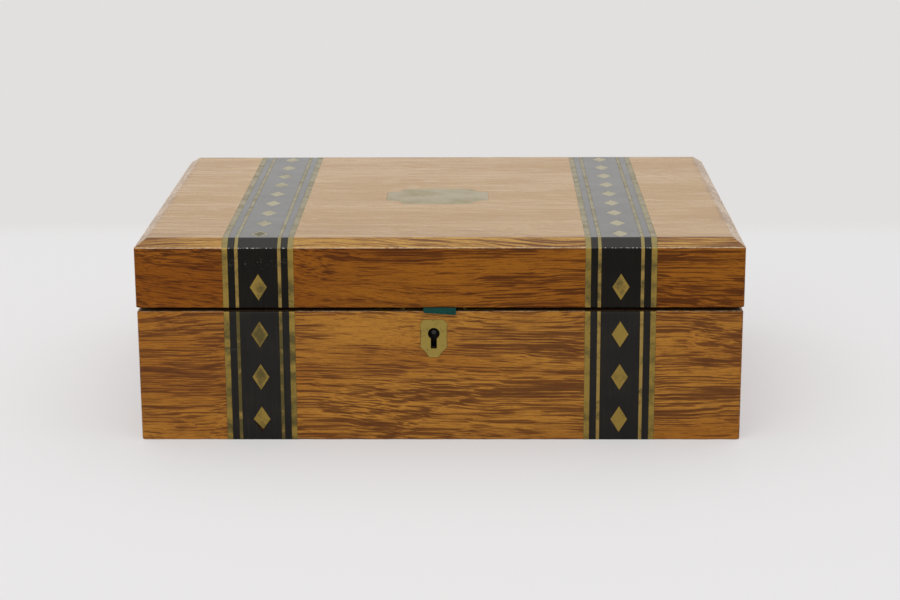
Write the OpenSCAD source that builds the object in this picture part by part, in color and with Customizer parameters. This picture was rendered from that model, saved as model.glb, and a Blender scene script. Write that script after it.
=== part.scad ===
/* [Box] */
// Width of the lid, left to right
box_w = 356; // [320:1:400]
// Depth of the lid, front to back
box_d = 257; // [230:1:290]
// Height of the base
base_h = 79; // [70:1:110]
// Height of the lid's upright sides
lid_side_h = 35.8; // [30:0.2:50]
// Gap between the base and the closed lid
seam_gap = 2.4; // [2:0.1:3]
// How far the lid stands out past the base on every side
lid_overhang = 0.4; // [0:0.1:0.8]

/* [Boards] */
// Thickness of the side boards of base and lid
wall_t = 12; // [11.5:0.5:14]
// Thickness of the bottom board
bottom_t = 6; // [5:0.5:8]
// Width of the step in the side boards that holds the bottom board
bottom_lap = 6; // [4:0.5:8]
// Width of the bevel round the lid's top, seen from above
bevel_in = 7.1; // [5:0.1:9]
// Height of that bevel
bevel_rise = 4.8; // [3.5:0.1:6]
// Depth that the top panel reaches down between the lid's side boards
panel_tongue = 3.2; // [2:0.1:5]
// Slack of a glued board in its step or tongue
glue_gap = 0.1; // [0.05:0.05:0.3]
// Radius of the rounded upright corners of base and lid
corner_r = 1.6; // [1:0.1:2.5]

/* [Inlaid straps] */
// Distance from each end of the lid to the middle of the nearest strap
strap_in = 72.2; // [63:0.1:88]
// Width of the brass line along each edge of a strap
outer_line_w = 3.4; // [2:0.1:5]
// Width of the ebony line inside it
ebony_line_w = 3.9; // [2:0.1:6]
// Width of the thin brass line beside the middle panel
inner_line_w = 2.1; // [1.2:0.1:3]
// Width of the ebony panel in the middle
ebony_panel_w = 23; // [16:0.5:30]
// Thickness of the inlay, let in flush
inlay_t = 1.2; // [0.8:0.1:2]
// Joint between two inlaid pieces
inlay_gap = 0.05; // [0.02:0.01:0.1]

/* [Lozenges] */
// Width of a lozenge
lozenge_w = 10.1; // [6:0.1:14]
// Length of a lozenge
lozenge_l = 16.2; // [10:0.1:20]
// Lozenges on each strap of the base's front
base_lozenges = 3; // [2:1:3]
// Distance from the base's top edge to the middle of its first lozenge
base_lozenge_drop = 14; // [11:0.5:18]
// Height of the last lozenge's middle above the base's bottom edge
base_lozenge_foot = 12.8; // [11:0.2:18]
// Height of the lid's front lozenge above the lid's lower edge
lid_lozenge_up = 12.4; // [11:0.2:16]
// Spacing of the lozenges across the lid's top
top_lozenge_pitch = 28; // [20:0.5:40]
// Least distance from a lozenge's tip to the end of the top
top_lozenge_margin = 0.5; // [0.5:0.5:10]

/* [Name plate] */
// Width of the blank plate in the lid's top
cartouche_w = 64; // [40:1:90]
// Depth of the plate
cartouche_d = 46; // [30:1:70]
// Radius of its hollow corners
cartouche_corner = 10.5; // [4:0.5:14]
// Sideways place of the plate, from the box's middle
cartouche_x = -3.2; // [-10:0.1:10]
// Distance from the lid's front face to the middle of the plate
cartouche_back = 120.8; // [100:0.1:150]
// Thickness of the plate
cartouche_t = 1; // [0.6:0.1:2]

/* [Lock] */
// Sideways place of the keyhole, from the box's middle
lock_x = -3.5; // [-10:0.5:10]
// Distance from the base's top edge down to the keyhole's centre
key_drop = 13.5; // [13:0.5:16]
// Radius of the keyhole's round part
keyhole_r = 3.4; // [2.8:0.1:4]
// Width of the keyhole's slot
keyhole_slot_w = 3.4; // [2.4:0.1:4]
// Distance from the keyhole's centre to the slot's lower end
keyhole_slot_l = 9; // [8:0.5:10]
// Radius of the pin that a hollow key fits over
drill_pin_r = 1.4; // [1:0.1:1.8]
// Distance from the base's front face back to that pin's tip
drill_pin_back = 3.5; // [2:0.1:4.5]
// Width of the lock's back plate and top plate
lock_plate_w = 70; // [66:1:80]
// Height of the back plate
lock_plate_h = 34; // [32:1:40]
// Thickness of both plates
lock_plate_t = 1.5; // [1.2:0.1:2]
// Width of the lock's case
lock_case_w = 56; // [55:0.5:59]
// Height of the case below the top plate
lock_case_h = 28; // [25:0.5:30]
// Wall of the case
lock_case_wall = 1.2; // [0.8:0.1:1.4]
// Depth of the whole lock, from the board's inner face
lock_depth = 8.5; // [8:0.1:9]
// Slack of the lock in its mortise
mortise_gap = 0.2; // [0.1:0.1:0.5]

/* [Bolt and link plate] */
// Sideways travel of the bolt
bolt_travel = 4.5; // [3.5:0.1:5]
// Thickness of the bolt
bolt_t = 2; // [1.6:0.1:2.4]
// Distance from the base's top edge to the bolt's upper edge
bolt_top = 2.2; // [1.8:0.1:2.4]
// Distance from the base's top edge to the bolt's lower edge
bolt_bottom = 10.6; // [10.4:0.1:11]
// Width of the notch that the key turns in
talon_w = 5.6; // [4:0.1:6.5]
// Distance from the base's top edge to the notch's roof
talon_top = 4.3; // [3.8:0.1:4.6]
// Radius of the posts that guide the bolt
guide_post_r = 1; // [0.8:0.1:1.2]
// Distance of the left post from the keyhole
left_post_x = 8; // [7.6:0.1:8.4]
// Distance of the right post from the keyhole
right_post_x = 10; // [9.8:0.1:10.2]
// Distance from the base's top edge down to the posts
guide_post_drop = 6.5; // [6:0.1:7]
// Slack between the bolt and what guides it
bolt_fit = 0.1; // [0.05:0.01:0.15]
// Distance of each staple from the keyhole
staple_x = 18; // [17.5:0.1:19]
// Thickness of a staple, across the box
staple_t = 2; // [1.6:0.1:2.2]
// Width of a staple, front to back
staple_w = 4.4; // [4.2:0.1:4.6]
// Depth of a staple below the base's top edge
staple_l = 8.2; // [8:0.1:8.4]
// Height of the eye in a staple
eye_h = 2.7; // [2.4:0.1:3]
// Width of the eye
eye_w = 3; // [2.8:0.1:3.2]
// Metal below the eye
eye_foot = 1.6; // [1.4:0.1:1.8]
// Free space round a staple and in its eye
staple_clear = 0.4; // [0.3:0.05:0.5]
// Length of the link plate
link_plate_w = 60; // [56:1:70]
// Distance that the link plate reaches past its staples, towards the front
link_plate_lap = 1.8; // [1.4:0.1:2.2]
// Distance from each end of the link plate to its screw
link_screw_in = 4; // [3.5:0.1:5]
// Thickness of the lock's bow spring
spring_t = 0.6; // [0.4:0.1:0.8]
// Outer radius of the spring's bow
spring_r = 9; // [7:0.5:11]

/* [Hinges] */
// Distance from each end of the lid to the middle of the nearest hinge
hinge_in = 78; // [58:1:98]
// Length of a hinge
hinge_l = 50; // [40:1:60]
// Number of knuckles in a hinge
hinge_knuckles = 5; // [3:2:7]
// Distance from the lid's back face in to the hinge axis
hinge_inset = 2; // [1.6:0.1:2.4]
// Outer radius of a knuckle
knuckle_r = 3; // [2.8:0.1:3.4]
// Radius of the hinge pin
hinge_pin_r = 1.25; // [1:0.05:1.5]
// Radial slack between pin and knuckles
hinge_pin_fit = 0.05; // [0.02:0.01:0.1]
// Slack between two knuckles
knuckle_gap = 0.2; // [0.1:0.05:0.4]
// Width of a hinge leaf, from the axis
leaf_w = 8.5; // [8:0.1:9]
// Thickness of a hinge leaf
leaf_t = 1.5; // [1.2:0.1:1.8]
// Distance from a leaf's inner edge to its row of screws
leaf_screw_in = 2.9; // [2.4:0.1:3.4]
// Opening angle at which the two back edges meet
lid_stop = 101; // [95:1:110]

/* [Screws] */
// Radius of a screw's shank
screw_r = 1.1; // [0.8:0.05:1.3]
// Radius of a screw's head
screw_head_r = 1.8; // [1.5:0.05:2]
// Length of a screw
screw_l = 9; // [6:0.5:10]
// Slack round a screw
screw_gap = 0.05; // [0.02:0.01:0.1]

/* [Lining and tab] */
// Thickness of the baize lining
cloth_t = 1; // [0.6:0.1:1.5]
// Slack behind and beside the lining
cloth_gap = 0.1; // [0.05:0.05:0.3]
// Distance from a rim down or up to the edge of the lining
lining_drop = 3; // [1:0.5:8]
// Width of the cloth pull tab
tab_w = 19; // [12:0.5:24]
// Sideways place of the tab's middle, from the keyhole
tab_x = 3.6; // [-2:0.1:4]
// Thickness of the tab
tab_t = 0.8; // [0.5:0.1:1.2]
// How far the tab stands out from the lid's front
tab_out = 2.4; // [2:0.1:4]
// How far the tab hangs below the base's top edge
tab_droop = 1.6; // [0.5:0.1:4]

/* [Hidden] */
$fn = 48;

// Margin by which a cutting shape runs past what it cuts
past = 1;

// Outer size of the base
base_w = box_w - 2 * lid_overhang;
base_d = box_d - 2 * lid_overhang;
base_front = -base_d / 2;
base_in_x = base_w / 2 - wall_t;
base_in_y = base_d / 2 - wall_t;

// Levels and faces of the lid
lid_z = base_h + seam_gap;
lid_arris = lid_z + lid_side_h;
lid_top = lid_arris + bevel_rise;
lid_front = -box_d / 2;
lid_in_x = box_w / 2 - wall_t;
lid_in_y = box_d / 2 - wall_t;
lid_ceiling = lid_arris - panel_tongue;

// Places of the straps and hinges, from the box's middle
strap_x = box_w / 2 - strap_in;
hinge_x = box_w / 2 - hinge_in;

// Widths measured from a strap's middle
panel_half = ebony_panel_w / 2;
inner_half = panel_half + inner_line_w;
ebony_half = inner_half + ebony_line_w;
strap_half = ebony_half + outer_line_w;

// Mitres where the inlay turns over the lid's arris and over the bevel's upper edge
bevel_angle = atan(bevel_rise / bevel_in);
arris_mitre = inlay_t * tan((90 - bevel_angle) / 2);
brow_mitre = inlay_t * tan(bevel_angle / 2);
bevel_reach = inlay_t + arris_mitre / tan(bevel_angle);

// Sections of the inlay, front to back and upward
base_skin = [
    [base_front, 0],
    [base_front + inlay_t, 0],
    [base_front + inlay_t, base_h],
    [base_front, base_h]
];
lid_front_skin = [
    [lid_front, lid_z],
    [lid_front + inlay_t, lid_z],
    [lid_front + inlay_t, lid_arris - arris_mitre],
    [lid_front, lid_arris]
];
front_bevel_skin = [
    [lid_front, lid_arris],
    [lid_front + inlay_t, lid_arris - arris_mitre],
    [lid_front + bevel_in + brow_mitre, lid_top - inlay_t],
    [lid_front + bevel_in, lid_top]
];
lid_top_skin = [
    [lid_front + bevel_in, lid_top],
    [lid_front + bevel_in + brow_mitre, lid_top - inlay_t],
    [-lid_front - bevel_in - brow_mitre, lid_top - inlay_t],
    [-lid_front - bevel_in, lid_top]
];
back_bevel_skin = [
    [-lid_front - bevel_in, lid_top],
    [-lid_front - bevel_in - brow_mitre, lid_top - inlay_t],
    [-lid_front - bevel_reach, lid_arris],
    [-lid_front, lid_arris]
];
lid_whole_skin = [
    [lid_front - past, lid_z - past],
    [lid_front + inlay_t, lid_z - past],
    [lid_front + inlay_t, lid_arris - arris_mitre],
    [lid_front + bevel_in + brow_mitre, lid_top - inlay_t],
    [-lid_front - bevel_in - brow_mitre, lid_top - inlay_t],
    [-lid_front - bevel_reach, lid_arris],
    [-lid_front + past, lid_arris],
    [-lid_front + past, lid_top + past],
    [lid_front - past, lid_top + past]
];

// Places of the lozenges
base_lozenge_pitch = (base_h - base_lozenge_drop - base_lozenge_foot) / (base_lozenges - 1);
base_lozenge_z = [for (i = [0 : base_lozenges - 1]) base_lozenge_foot + i * base_lozenge_pitch];
top_run = box_d - 2 * bevel_in - lozenge_l - 2 * top_lozenge_margin;
top_lozenges = floor(top_run / top_lozenge_pitch) + 1;
top_lozenge_y = [for (i = [0 : top_lozenges - 1]) (i - (top_lozenges - 1) / 2) * top_lozenge_pitch];

// Lock: faces from front to back, and levels
lock_front = -base_in_y - lock_depth;
plate_front = -base_in_y - lock_plate_t;
case_in_front = lock_front + lock_case_wall;
bolt_y = (case_in_front + plate_front) / 2;
key_z = base_h - key_drop;
plate_under = base_h - lock_plate_t;
case_floor = plate_under - lock_case_h;
case_in_x = lock_case_w / 2 - lock_case_wall;
bolt_end_gap = 0.3;
bolt_left = -case_in_x + bolt_end_gap;
bolt_right = case_in_x - bolt_end_gap - bolt_travel;
eye_bottom = staple_l - eye_foot;
finger_low = eye_bottom - staple_clear;
finger_high = eye_bottom - eye_h + staple_clear;
finger_gap = 0.4;
staple_floor_gap = 0.3;
lock_screw_x = (lock_plate_w + lock_case_w) / 4;
lock_screw_drop = 24;
staple_swing = 0.4;
link_plate_front = bolt_y - staple_w / 2 - link_plate_lap;
link_screw_x = link_plate_w / 2 - link_screw_in;

// Escutcheon outline, from the keyhole's centre
plate_half = 8.3;
plate_waist = 7.8;
plate_top = 8.6;
plate_foot = -14.6;
plate_foot_half = 2.7;
plate_foot_lean = 2;
plate_top_half = 5.9;
plate_shoulder = 5.6;
plate_hip = -7.8;
plate_nib = 1;
foot_steps = 6;

// Hinge axis and knuckles
hinge_y = box_d / 2 - hinge_inset;
hinge_z = base_h + seam_gap / 2;
knuckle_pitch = hinge_l / hinge_knuckles;
knuckle_clear = 0.4;
leaf_screw_y = hinge_y - leaf_w + leaf_screw_in;
leaf_screw_x = hinge_l / 3;
stop_slope = tan(lid_stop / 2);
stop_run = 4 * hinge_inset;

// Screws
screw_head_h = 1.3;
screw_point = 2;
screw_slot_w = 0.5;
screw_slot_t = 0.5;

// Tab
tab_bend = 2;
tab_drop = seam_gap + tab_droop;

// Points of a lozenge whose sides stand off by grow
function lozenge_points(grow) =
    let (a = lozenge_w / 2, b = lozenge_l / 2, f = 1 + grow * norm([a, b]) / (a * b))
    [[0, b * f], [a * f, 0], [0, -b * f], [-a * f, 0]];

// Points on a quadratic curve from p to q that leans to c
function curve_points(p, c, q, n) =
    [for (i = [0 : n]) let (t = i / n) (1 - t) * (1 - t) * p + 2 * t * (1 - t) * c + t * t * q];

// A profile drawn front to back and upward, run from x0 to x1
module run_across(x0, x1, points) {
    translate([x0, 0, 0])
        rotate([90, 0, 90])
            linear_extrude(x1 - x0)
                polygon(points);
}

// A flat shape drawn as seen from the front, from depth y0 back to y1
module facing_front(y0, y1) {
    translate([0, y1, 0])
        rotate([90, 0, 0])
            linear_extrude(y1 - y0)
                children();
}

// One strip of inlay between x0 and x1, with half a joint left free on both sides
module strip(x0, x1, skin) {
    run_across(x0 + inlay_gap / 2, x1 - inlay_gap / 2, skin);
}

// The four matching lines of both straps, between two distances from a strap's middle
module strap_lines(near, far, skins) {
    for (strap = [-strap_x, strap_x], skin = skins) {
        strip(strap - far, strap - near, skin);
        strip(strap + near, strap + far, skin);
    }
}

// The middle panels of both straps
module strap_panels(skins) {
    for (strap = [-strap_x, strap_x], skin = skins)
        strip(strap - panel_half, strap + panel_half, skin);
}

// Upright lozenges on both straps at the given heights
module front_lozenges(y0, y1, heights, grow) {
    for (strap = [-strap_x, strap_x], z = heights)
        facing_front(y0, y1)
            translate([strap, z])
                polygon(lozenge_points(grow));
}

// Flat lozenges on both straps of the lid's top
module top_lozenge_set(z0, z1, grow) {
    for (strap = [-strap_x, strap_x], y = top_lozenge_y)
        translate([strap, y, z0])
            linear_extrude(z1 - z0)
                polygon(lozenge_points(grow));
}

// A rectangle with rounded corners, round the origin
module rounded_2d(w, d) {
    square([w - 2 * corner_r, d], center = true);
    square([w, d - 2 * corner_r], center = true);
    for (x = [-w / 2 + corner_r, w / 2 - corner_r], y = [-d / 2 + corner_r, d / 2 - corner_r])
        translate([x, y])
            circle(r = corner_r);
}

// Board along the front or back of a mitred frame; the back one is turned half round
module mitred_long(w, d, z0, z1) {
    translate([0, 0, z0])
        linear_extrude(z1 - z0)
            intersection() {
                polygon([
                    [-w / 2, -d / 2],
                    [w / 2, -d / 2],
                    [w / 2 - wall_t, -d / 2 + wall_t],
                    [-w / 2 + wall_t, -d / 2 + wall_t]
                ]);
                rounded_2d(w, d);
            }
}

// Board along the left side of a mitred frame; the right one is turned half round
module mitred_short(w, d, z0, z1) {
    translate([0, 0, z0])
        linear_extrude(z1 - z0)
            intersection() {
                polygon([
                    [-w / 2, d / 2],
                    [-w / 2, -d / 2],
                    [-w / 2 + wall_t, -d / 2 + wall_t],
                    [-w / 2 + wall_t, d / 2 - wall_t]
                ]);
                rounded_2d(w, d);
            }
}

// Step for the bottom board, glue_gap larger than the board
module bottom_step() {
    w = base_w - 2 * (wall_t - bottom_lap);
    d = base_d - 2 * (wall_t - bottom_lap);
    translate([-w / 2, -d / 2, -past])
        cube([w, d, bottom_t + past]);
}

// Sloping cut along the back edge of the base, where the opened lid comes to rest
module base_stop_cut() {
    run_across(-box_w, box_w, [
        [hinge_y, hinge_z],
        [hinge_y + stop_run, hinge_z - stop_run * stop_slope],
        [hinge_y + stop_run, hinge_z]
    ]);
}

// The matching cut along the back edge of the lid
module lid_stop_cut() {
    run_across(-box_w, box_w, [
        [hinge_y, hinge_z],
        [hinge_y + stop_run, hinge_z],
        [hinge_y + stop_run, hinge_z + stop_run * stop_slope]
    ]);
}

// Strap pockets in the base's front
module base_strap_cut() {
    for (strap = [-strap_x, strap_x])
        translate([strap - strap_half, base_front - past, -past])
            cube([2 * strap_half, past + inlay_t, base_h + 2 * past]);
}

// Strap pockets in the lid, in one run over front, bevel and top
module lid_strap_cut() {
    for (strap = [-strap_x, strap_x])
        run_across(strap - strap_half, strap + strap_half, lid_whole_skin);
}

// Countersunk wood screw, head up at the origin, shank down
module wood_screw() {
    difference() {
        union() {
            translate([0, 0, -screw_head_h])
                cylinder(h = screw_head_h, r1 = screw_r, r2 = screw_head_r);
            translate([0, 0, -screw_l + screw_point])
                cylinder(h = screw_l - screw_point - screw_head_h, r = screw_r);
            translate([0, 0, -screw_l])
                cylinder(h = screw_point, r1 = screw_r / 5, r2 = screw_r);
        }
        translate([-past - screw_head_r, -screw_slot_w / 2, -screw_slot_t])
            cube([2 * (past + screw_head_r), screw_slot_w, screw_slot_t + past]);
    }
}

// Hole for that screw, countersunk for its head
module screw_hole() {
    translate([0, 0, -screw_head_h])
        cylinder(h = screw_head_h, r1 = screw_r + screw_gap, r2 = screw_head_r + screw_gap);
    translate([0, 0, -screw_l - screw_gap])
        cylinder(h = screw_l, r = screw_r + screw_gap);
    cylinder(h = past, r = screw_head_r + screw_gap);
}

// Places of the screws in the lock's top plate and back plate
module at_lock_screws() {
    for (side = [-1, 1]) {
        translate([lock_x + side * lock_screw_x, bolt_y, base_h])
            children();
        translate([lock_x + side * lock_screw_x, -base_in_y, base_h - lock_screw_drop])
            rotate([-90, 0, 0])
                children();
    }
}

// Places of the link plate's screws, heads down
module at_link_screws() {
    for (side = [-1, 1])
        translate([lock_x + side * link_screw_x, bolt_y, lid_z])
            rotate([180, 0, 0])
                children();
}

// Places of the screws in the base's hinge leaves
module at_base_leaf_screws(middle) {
    for (i = [-1, 0, 1])
        translate([middle + i * leaf_screw_x, leaf_screw_y, base_h])
            children();
}

// Places of the screws in the lid's hinge leaves, heads down
module at_lid_leaf_screws(middle) {
    for (i = [-1, 0, 1])
        translate([middle + i * leaf_screw_x, leaf_screw_y, lid_z])
            rotate([180, 0, 0])
                children();
}

// Keyhole as seen from the front, round part at the origin
module keyhole_2d() {
    circle(r = keyhole_r);
    translate([-keyhole_slot_w / 2, -keyhole_slot_l])
        square([keyhole_slot_w, keyhole_slot_l]);
}

// Right half of the escutcheon's outline grown by g, from the top middle to the foot
function escutcheon_half(g) = concat(
    [
        [plate_top_half + g / 2, plate_top + g],
        [plate_half + g, plate_shoulder + g / 2],
        [plate_waist + g, plate_shoulder - plate_nib],
        [plate_waist + g, plate_hip + plate_nib]
    ],
    curve_points(
        [plate_half + g, plate_hip],
        [plate_foot_half + plate_foot_lean + g, (plate_hip + plate_foot) / 2],
        [plate_foot_half + g, plate_foot - g],
        foot_steps
    )
);

// Escutcheon outline grown by g
module escutcheon_2d(g) {
    right = escutcheon_half(g);
    left = [for (i = [len(right) - 1 : -1 : 0]) [-right[i][0], right[i][1]]];
    polygon(concat(right, left));
}

// Mortise for the lock in the base's front board
module lock_mortise() {
    plate_w = lock_plate_w + 2 * mortise_gap;
    case_w = lock_case_w + 2 * mortise_gap;
    translate([lock_x - plate_w / 2, plate_front, base_h - lock_plate_h - mortise_gap])
        cube([plate_w, lock_plate_t + past, lock_plate_h + mortise_gap + past]);
    translate([lock_x - plate_w / 2, lock_front - mortise_gap, plate_under])
        cube([plate_w, lock_depth + mortise_gap + past, lock_plate_t + past]);
    translate([lock_x - case_w / 2, lock_front - mortise_gap, case_floor - mortise_gap])
        cube([case_w, lock_depth + mortise_gap + past, base_h - case_floor + mortise_gap + past]);
    at_lock_screws()
        screw_hole();
}

// Keyhole and seat of the escutcheon in the base's front board
module keyhole_cut() {
    facing_front(base_front - past, lock_front + past)
        translate([lock_x, key_z])
            keyhole_2d();
    facing_front(base_front - past, base_front + inlay_t)
        translate([lock_x, key_z])
            escutcheon_2d(inlay_gap);
}

// Seat of one hinge in the base: leaf, knuckles and screws
module base_hinge_cut(middle) {
    w = hinge_l + 2 * knuckle_gap;
    translate([middle - w / 2, hinge_y - leaf_w - knuckle_gap, base_h - leaf_t])
        cube([w, leaf_w + knuckle_gap, leaf_t + past]);
    translate([middle - w / 2, hinge_y, hinge_z])
        rotate([0, 90, 0])
            cylinder(h = w, r = knuckle_r + knuckle_clear);
    at_base_leaf_screws(middle)
        screw_hole();
}

// Seat of one hinge in the lid
module lid_hinge_cut(middle) {
    w = hinge_l + 2 * knuckle_gap;
    translate([middle - w / 2, hinge_y - leaf_w - knuckle_gap, lid_z - past])
        cube([w, leaf_w + knuckle_gap, leaf_t + past]);
    translate([middle - w / 2, hinge_y, hinge_z])
        rotate([0, 90, 0])
            cylinder(h = w, r = knuckle_r + knuckle_clear);
    at_lid_leaf_screws(middle)
        screw_hole();
}

// Knuckles number first, first + 2 and so on, as cylinders of radius r
module knuckles(middle, first, r, slack) {
    for (i = [first : 2 : hinge_knuckles - 1])
        translate([middle - hinge_l / 2 + i * knuckle_pitch + slack, hinge_y, hinge_z])
            rotate([0, 90, 0])
                cylinder(h = knuckle_pitch - 2 * slack, r = r);
}

// One hinge leaf: a plate at height z, its own knuckles, and room for the other leaf's
module hinge_leaf(middle, z, own, other) {
    difference() {
        union() {
            difference() {
                translate([middle - hinge_l / 2, hinge_y - leaf_w, z])
                    cube([hinge_l, leaf_w, leaf_t]);
                knuckles(middle, other, knuckle_r + knuckle_clear, -knuckle_gap / 2);
            }
            knuckles(middle, own, knuckle_r, knuckle_gap / 2);
        }
        translate([middle - hinge_l, hinge_y, hinge_z])
            rotate([0, 90, 0])
                cylinder(h = 2 * hinge_l, r = hinge_pin_r + hinge_pin_fit);
    }
}

module base_leaf(middle) {
    difference() {
        hinge_leaf(middle, base_h - leaf_t, 0, 1);
        at_base_leaf_screws(middle)
            screw_hole();
    }
}

module lid_leaf(middle) {
    difference() {
        hinge_leaf(middle, lid_z, 1, 0);
        at_lid_leaf_screws(middle)
            screw_hole();
    }
}

module hinge_pin(middle) {
    translate([middle - hinge_l / 2, hinge_y, hinge_z])
        rotate([0, 90, 0])
            cylinder(h = hinge_l, r = hinge_pin_r);
}

// Lining on a long wall, between two levels; the back one is turned half round
module long_lining(in_x, in_y, z0, z1) {
    translate([-in_x + cloth_gap, -in_y + cloth_gap, z0])
        cube([2 * (in_x - cloth_gap), cloth_t, z1 - z0]);
}

// Lining on the left wall, between the two long ones; the right one is turned half round
module short_lining(in_x, in_y, z0, z1) {
    back = in_y - 2 * cloth_gap - cloth_t;
    translate([-in_x + cloth_gap, -back, z0])
        cube([cloth_t, 2 * back, z1 - z0]);
}

module half_turn() {
    rotate([0, 0, 180])
        children();
}

module base_front_board() {
    color("peru")
        difference() {
            mitred_long(base_w, base_d, 0, base_h);
            bottom_step();
            base_strap_cut();
            lock_mortise();
            keyhole_cut();
        }
}

module base_back_board() {
    color("peru")
        difference() {
            half_turn()
                mitred_long(base_w, base_d, 0, base_h);
            bottom_step();
            base_stop_cut();
            base_hinge_cut(-hinge_x);
            base_hinge_cut(hinge_x);
        }
}

module base_left_board() {
    color("peru")
        difference() {
            mitred_short(base_w, base_d, 0, base_h);
            bottom_step();
            base_stop_cut();
        }
}

module base_right_board() {
    color("peru")
        difference() {
            half_turn()
                mitred_short(base_w, base_d, 0, base_h);
            bottom_step();
            base_stop_cut();
        }
}

module base_bottom_board() {
    w = base_w - 2 * (wall_t - bottom_lap) - 2 * glue_gap;
    d = base_d - 2 * (wall_t - bottom_lap) - 2 * glue_gap;
    color("burlywood")
        translate([-w / 2, -d / 2, 0])
            cube([w, d, bottom_t]);
}

module base_outer_brass_lines() {
    color("darkgoldenrod")
        strap_lines(ebony_half, strap_half, [base_skin]);
}

module base_ebony_lines() {
    color([0.13, 0.12, 0.1])
        strap_lines(inner_half, ebony_half, [base_skin]);
}

module base_inner_brass_lines() {
    color("darkgoldenrod")
        strap_lines(panel_half, inner_half, [base_skin]);
}

module base_ebony_panels() {
    color([0.13, 0.12, 0.1])
        difference() {
            strap_panels([base_skin]);
            front_lozenges(base_front - past, base_front + inlay_t + past, base_lozenge_z, inlay_gap);
        }
}

module base_brass_lozenges() {
    color("goldenrod")
        front_lozenges(base_front, base_front + inlay_t, base_lozenge_z, 0);
}

module escutcheon() {
    color("goldenrod")
        facing_front(base_front, base_front + inlay_t)
            translate([lock_x, key_z])
                difference() {
                    escutcheon_2d(0);
                    keyhole_2d();
                }
}

module lock_plate() {
    staple_hole = [
        staple_t + 2 * staple_clear,
        staple_w + 2 * staple_clear + staple_swing,
        lock_plate_t + 2 * past
    ];
    color("goldenrod")
        difference() {
            union() {
                translate([lock_x - lock_plate_w / 2, plate_front, base_h - lock_plate_h])
                    cube([lock_plate_w, lock_plate_t, lock_plate_h]);
                translate([lock_x - lock_plate_w / 2, lock_front, plate_under])
                    cube([lock_plate_w, lock_depth, lock_plate_t]);
            }
            for (side = [-1, 1])
                translate([lock_x + side * staple_x, bolt_y, base_h - lock_plate_t / 2])
                    cube(staple_hole, center = true);
            at_lock_screws()
                screw_hole();
            translate([lock_x, 0, key_z])
                rotate([90, 0, 0])
                    cylinder(h = box_d, r = drill_pin_r);
            guide_post_set(-base_in_y + past, guide_post_r);
        }
}

module lock_case() {
    color("darkgoldenrod")
        difference() {
            translate([lock_x - lock_case_w / 2, lock_front, case_floor])
                cube([lock_case_w, plate_front - lock_front, lock_case_h]);
            translate([lock_x - case_in_x, case_in_front, case_floor + lock_case_wall])
                cube([2 * case_in_x, lock_depth, lock_case_h]);
            facing_front(lock_front - past, case_in_front + past)
                translate([lock_x, key_z])
                    keyhole_2d();
        }
}

module lock_drill_pin() {
    tip = base_front + drill_pin_back;
    color("silver")
        translate([lock_x, -base_in_y, key_z])
            rotate([90, 0, 0])
                cylinder(h = -base_in_y - tip, r = drill_pin_r);
}

// Both guide posts from y back_end forward to the case's front wall
module guide_post_set(back_end, r) {
    for (x = [-left_post_x, right_post_x])
        translate([lock_x + x, back_end, base_h - guide_post_drop])
            rotate([90, 0, 0])
                cylinder(h = back_end - case_in_front, r = r);
}

module lock_guide_posts() {
    color("silver")
        guide_post_set(-base_in_y, guide_post_r);
}

// Bow spring on the case's right wall, its crest under the bolt
module lock_spring() {
    middle_x = case_in_x - spring_r;
    middle_z = -bolt_bottom - bolt_fit - spring_r;
    foot = spring_r / 2;
    depth = 2 * bolt_t;
    color("steelblue")
        facing_front(bolt_y - depth / 2, bolt_y + depth / 2)
            translate([lock_x, base_h]) {
                intersection() {
                    translate([middle_x, middle_z])
                        difference() {
                            circle(r = spring_r);
                            circle(r = spring_r - spring_t);
                        }
                    translate([middle_x - spring_r / 2, middle_z])
                        square([2 * spring_r, spring_r + past]);
                }
                translate([case_in_x - spring_t, middle_z - foot])
                    square([spring_t, foot]);
            }
}

// Room that a staple needs in the bolt, less the finger that enters its eye
module staple_notch_2d(x) {
    left = x - staple_t / 2 - bolt_travel - finger_gap;
    right = x + staple_t / 2 + finger_gap;
    difference() {
        translate([left, -staple_l - staple_floor_gap])
            square([right - left, staple_l]);
        translate([left - past, -finger_low])
            square([bolt_travel + past, finger_low - finger_high]);
    }
}

// Slot in the bolt for the guide post at x
module guide_slot_2d(x) {
    r = guide_post_r + bolt_fit;
    translate([x - bolt_travel, -guide_post_drop])
        circle(r = r);
    translate([x, -guide_post_drop])
        circle(r = r);
    translate([x - bolt_travel, -guide_post_drop - r])
        square([bolt_travel, 2 * r]);
}

module lock_bolt() {
    color("silver")
        facing_front(bolt_y - bolt_t / 2, bolt_y + bolt_t / 2)
            translate([lock_x, base_h])
                difference() {
                    translate([bolt_left, -bolt_bottom])
                        square([bolt_right - bolt_left, bolt_bottom - bolt_top]);
                    staple_notch_2d(-staple_x);
                    staple_notch_2d(staple_x);
                    guide_slot_2d(-left_post_x);
                    guide_slot_2d(right_post_x);
                    translate([-talon_w / 2, -bolt_bottom - past])
                        square([talon_w, bolt_bottom - talon_top + past]);
                }
}

module lock_screws() {
    color("goldenrod")
        at_lock_screws()
            wood_screw();
}

module hinge_left_base_leaf() {
    color("darkgoldenrod")
        base_leaf(-hinge_x);
}

module hinge_right_base_leaf() {
    color("darkgoldenrod")
        base_leaf(hinge_x);
}

module hinge_left_pin() {
    color("silver")
        hinge_pin(-hinge_x);
}

module hinge_right_pin() {
    color("silver")
        hinge_pin(hinge_x);
}

module hinge_base_screws() {
    color("goldenrod") {
        at_base_leaf_screws(-hinge_x)
            wood_screw();
        at_base_leaf_screws(hinge_x)
            wood_screw();
    }
}

module base_floor_lining() {
    color("teal")
        translate([-base_in_x + cloth_gap, -base_in_y + cloth_gap, bottom_t])
            cube([2 * (base_in_x - cloth_gap), 2 * (base_in_y - cloth_gap), cloth_t]);
}

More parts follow.
